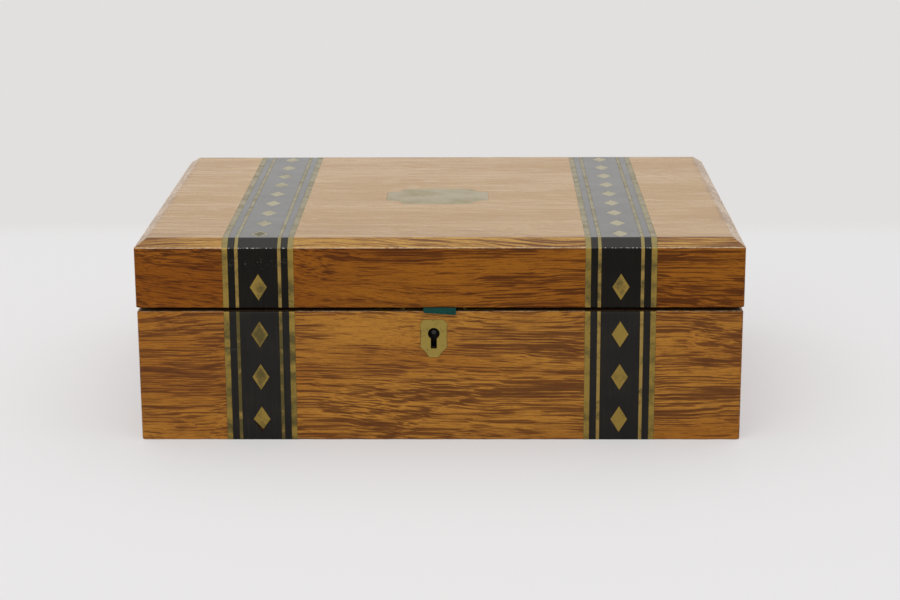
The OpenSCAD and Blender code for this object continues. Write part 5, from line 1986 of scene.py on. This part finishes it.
@dataclass
class PullTab:
    """The cloth tab that hangs out of the seam above the lock."""

    tilt: float = math.radians(4)
    thick: float = 0.8 * MM
    bend_r: float = 1.6 * MM
    hem: float = 0.8 * MM
    waver: float = 0.12 * MM

    def middle_line(self, lo: Array, hi: Array) -> tuple[Array, int]:
        """The folded line in y and z, forward under the lid, down on an arc and hanging.

        Returns:
            The line, and the number of points before it turns.
        """
        flat_n, arc_n, hang_n, t, r = 9, 9, 5, self.thick, self.bend_r
        f = np.radians(np.linspace(0, 90, arc_n))
        bend_y, level = lo[1] + t / 2 + r, hi[2] - t / 2
        flat = np.stack([np.linspace(hi[1], bend_y, flat_n), np.full(flat_n, level)], 1)
        turn = np.stack([bend_y - r * np.sin(f), level - r + r * np.cos(f)], 1)[1:]
        drop = np.linspace(turn[-1, 1], lo[2] + self.hem, hang_n + 1)[1:]
        hang = np.stack([np.full(hang_n, turn[-1, 0]), drop], 1)
        return np.concatenate([flat, turn, hang]), flat_n

    def build(self) -> None:
        """Adds the tab: a folded line under the lid's front, carried across the tab's width.

        The hanging part is lower by tan(tilt) times the distance from the tab's middle, and its
        end wavers.
        """
        lo, hi = low("pull_tab"), high("pull_tab")
        line, flat_n = self.middle_line(lo, hi)
        run = lengths(line)
        tangent = np.gradient(line, run, axis=0)
        tangent /= np.linalg.norm(tangent, axis=1, keepdims=True)
        normal = np.stack([tangent[:, 1], -tangent[:, 0]], 1)
        xs = np.linspace(lo[0], hi[0], 21)
        out = ease((run - run[flat_n] - 0.5 * MM) / (2.5 * MM))[:, None]
        lower = -math.tan(self.tilt) * (xs - (lo[0] + hi[0]) / 2)
        droop = out * (lower + self.waver * ripple(xs, 3, 15 * MM))[None]
        wave = self.waver * out * (ripple(xs, 9, 12 * MM)[None] + 1) / 2
        side = np.minimum(xs - lo[0], hi[0] - xs) / (0.3 * MM)
        thin = 0.5 * self.thick * np.sqrt(1 - np.clip(1 - side, 0, 0.75) ** 2)
        faces = []
        for way in (-1, 1):
            offset = normal[:, None] * (way * thin)[None, :, None]
            y, z = line[:, None, 0] + offset[..., 0] + wave, line[:, None, 1] + offset[..., 1]
            held = np.clip(y, lo[1], None), np.clip(z + droop, lo[2], hi[2])
            faces.append(np.stack([np.broadcast_to(xs, y.shape), *held], -1))
        piece = add_piece("pull_tab", [plate(*faces)], TAB_CLOTH, Body.LID, sharp=70)


@dataclass(frozen=True)
class Lamp:
    """A square soft light that faces a point: its width, its power, and whether gloss sees it."""

    name: str
    place: tuple[float, float, float]
    target: tuple[float, float, float]
    width: float
    power: float
    glossy: bool = True

    def build(self) -> None:
        """Adds the light."""
        data = bpy.data.lights.new(self.name, "AREA")
        data.size, data.energy = self.width, self.power
        lamp = link(self.name, data)
        lamp.visible_camera = False
        lamp.visible_glossy = self.glossy
        z = np.array(self.place, float) - np.array(self.target, float)
        z /= np.linalg.norm(z)
        x = np.cross([0, 1, 0] if abs(z[2]) > 0.9 else [0, 0, 1], z)
        x /= np.linalg.norm(x)
        aim(lamp, [x, np.cross(z, x), z], self.place)


@dataclass
class Studio:
    """Pale floor, soft light and the camera that took the picture."""

    lens: float = 84.70
    sensor: float = 36
    clip: tuple[float, float] = (0.05, 60)
    place: tuple[float, float, float] = (0.0242, -1.3235, 0.4045)
    yaw: float = 0.01511
    pitch: float = math.radians(14.92)
    roll: float = -0.00465
    lamps: tuple[Lamp, ...] = (
        Lamp("overhead", (0.0, 0.1, 1.9), (0, 0, 0), 3.6, 29, glossy=False),
        Lamp("front", (-0.6, -2.4, 1.3), (0, 0, 0.06), 2.6, 26),
        Lamp("behind", (0.0, 2.4, 0.9), (0, 0, 0.12), 2.4, 4.3),
    )
    backdrop: Colour = (0.753, 0.745, 0.731)
    floor: Colour = (0.795, 0.785, 0.785)
    reach: tuple[float, float] = (1.1, 0.47)
    fade: float = 0.08
    sheet: Colour = (0.825, 0.815, 0.820)
    share: float = 0.4
    fill: float = 0.5

    def build(self) -> None:
        """Adds floor, light and camera."""
        bpy.context.scene.view_settings.view_transform = "Standard"
        self.build_floor()
        self.build_world()
        for lamp in self.lamps:
            lamp.build()
        self.build_camera()

    def build_floor(self) -> None:
        """Adds the floor, a sheet under the box that fades into the backdrop towards its edges."""
        x, y = self.reach
        mesh = bpy.data.meshes.new("floor")
        mesh.from_pydata([(-x, -y, 0), (x, -y, 0), (x, y, 0), (-x, y, 0)], [], [(0, 1, 2, 3)])
        floor = link("floor", mesh)
        material = bpy.data.materials.new("floor_paper")
        graph = Graph(material)
        px, py, _ = graph.place()
        gone = abs(py).step(y - self.fade, y).most(abs(px).step(x - self.fade, x))
        inputs = {"Base Color": self.floor, "Roughness": 0.9, "Specular IOR Level": 0.1}
        paper = graph.node("ShaderNodeBsdfPrincipled", inputs)
        bright = graph.node("ShaderNodeEmission", {"Color": self.sheet, "Strength": 1.0})
        paper = graph.node("ShaderNodeMixShader", {0: graph.seen() * self.share, 1: paper,
                                                   2: bright})
        clear = graph.node("ShaderNodeBsdfTransparent")
        faded = graph.node("ShaderNodeMixShader", {0: gone, 1: paper, 2: clear})
        graph.end(faded, "ShaderNodeOutputMaterial")
        mesh.materials.append(material)

    def build_world(self) -> None:
        """Lets camera and gloss see the backdrop's colour, and all else the fill light."""
        world = bpy.data.worlds.new("studio")
        bpy.context.scene.world = world
        graph = Graph(world)
        white = (1.0, 1.0, 1.0)
        plain = graph.node("ShaderNodeBackground", {"Color": white, "Strength": self.fill})
        seen = graph.node("ShaderNodeBackground", {"Color": self.backdrop, "Strength": 1.0})
        mixed = graph.node("ShaderNodeMixShader", {0: graph.seen(), 1: plain, 2: seen})
        graph.end(mixed, "ShaderNodeOutputWorld")

    def build_camera(self) -> None:
        """Adds the camera, turned by yaw, then pitch, then roll about its own line of sight."""
        data = bpy.data.cameras.new("camera")
        data.sensor_width, data.lens = self.sensor, self.lens
        data.clip_start, data.clip_end = self.clip
        camera = link("camera", data)
        cy, sy, cp, sp, cr, sr = (f(a) for a in (self.yaw, self.pitch, self.roll)
                                  for f in (math.cos, math.sin))
        right, up = np.array([cy, sy, 0]), np.array([-sy * sp, cy * sp, cp])
        ahead = np.array([-sy * cp, cy * cp, -sp])
        aim(camera, [right * cr + up * sr, up * cr - right * sr, -ahead], self.place)
        bpy.context.scene.camera = camera


def main() -> None:
    """Builds the box, its stage, light and camera."""
    logging.basicConfig(level=logging.INFO, format="%(name)s %(message)s")
    for assembly in (Studio(), BaseCarcase(), LidCarcase(), Strapwork(), Escutcheon(), Hardware(),
                     Linings(), PullTab()):
        LOG.info("building %s", type(assembly).__name__)
        assembly.build()


if __name__ == "__main__":
    main()
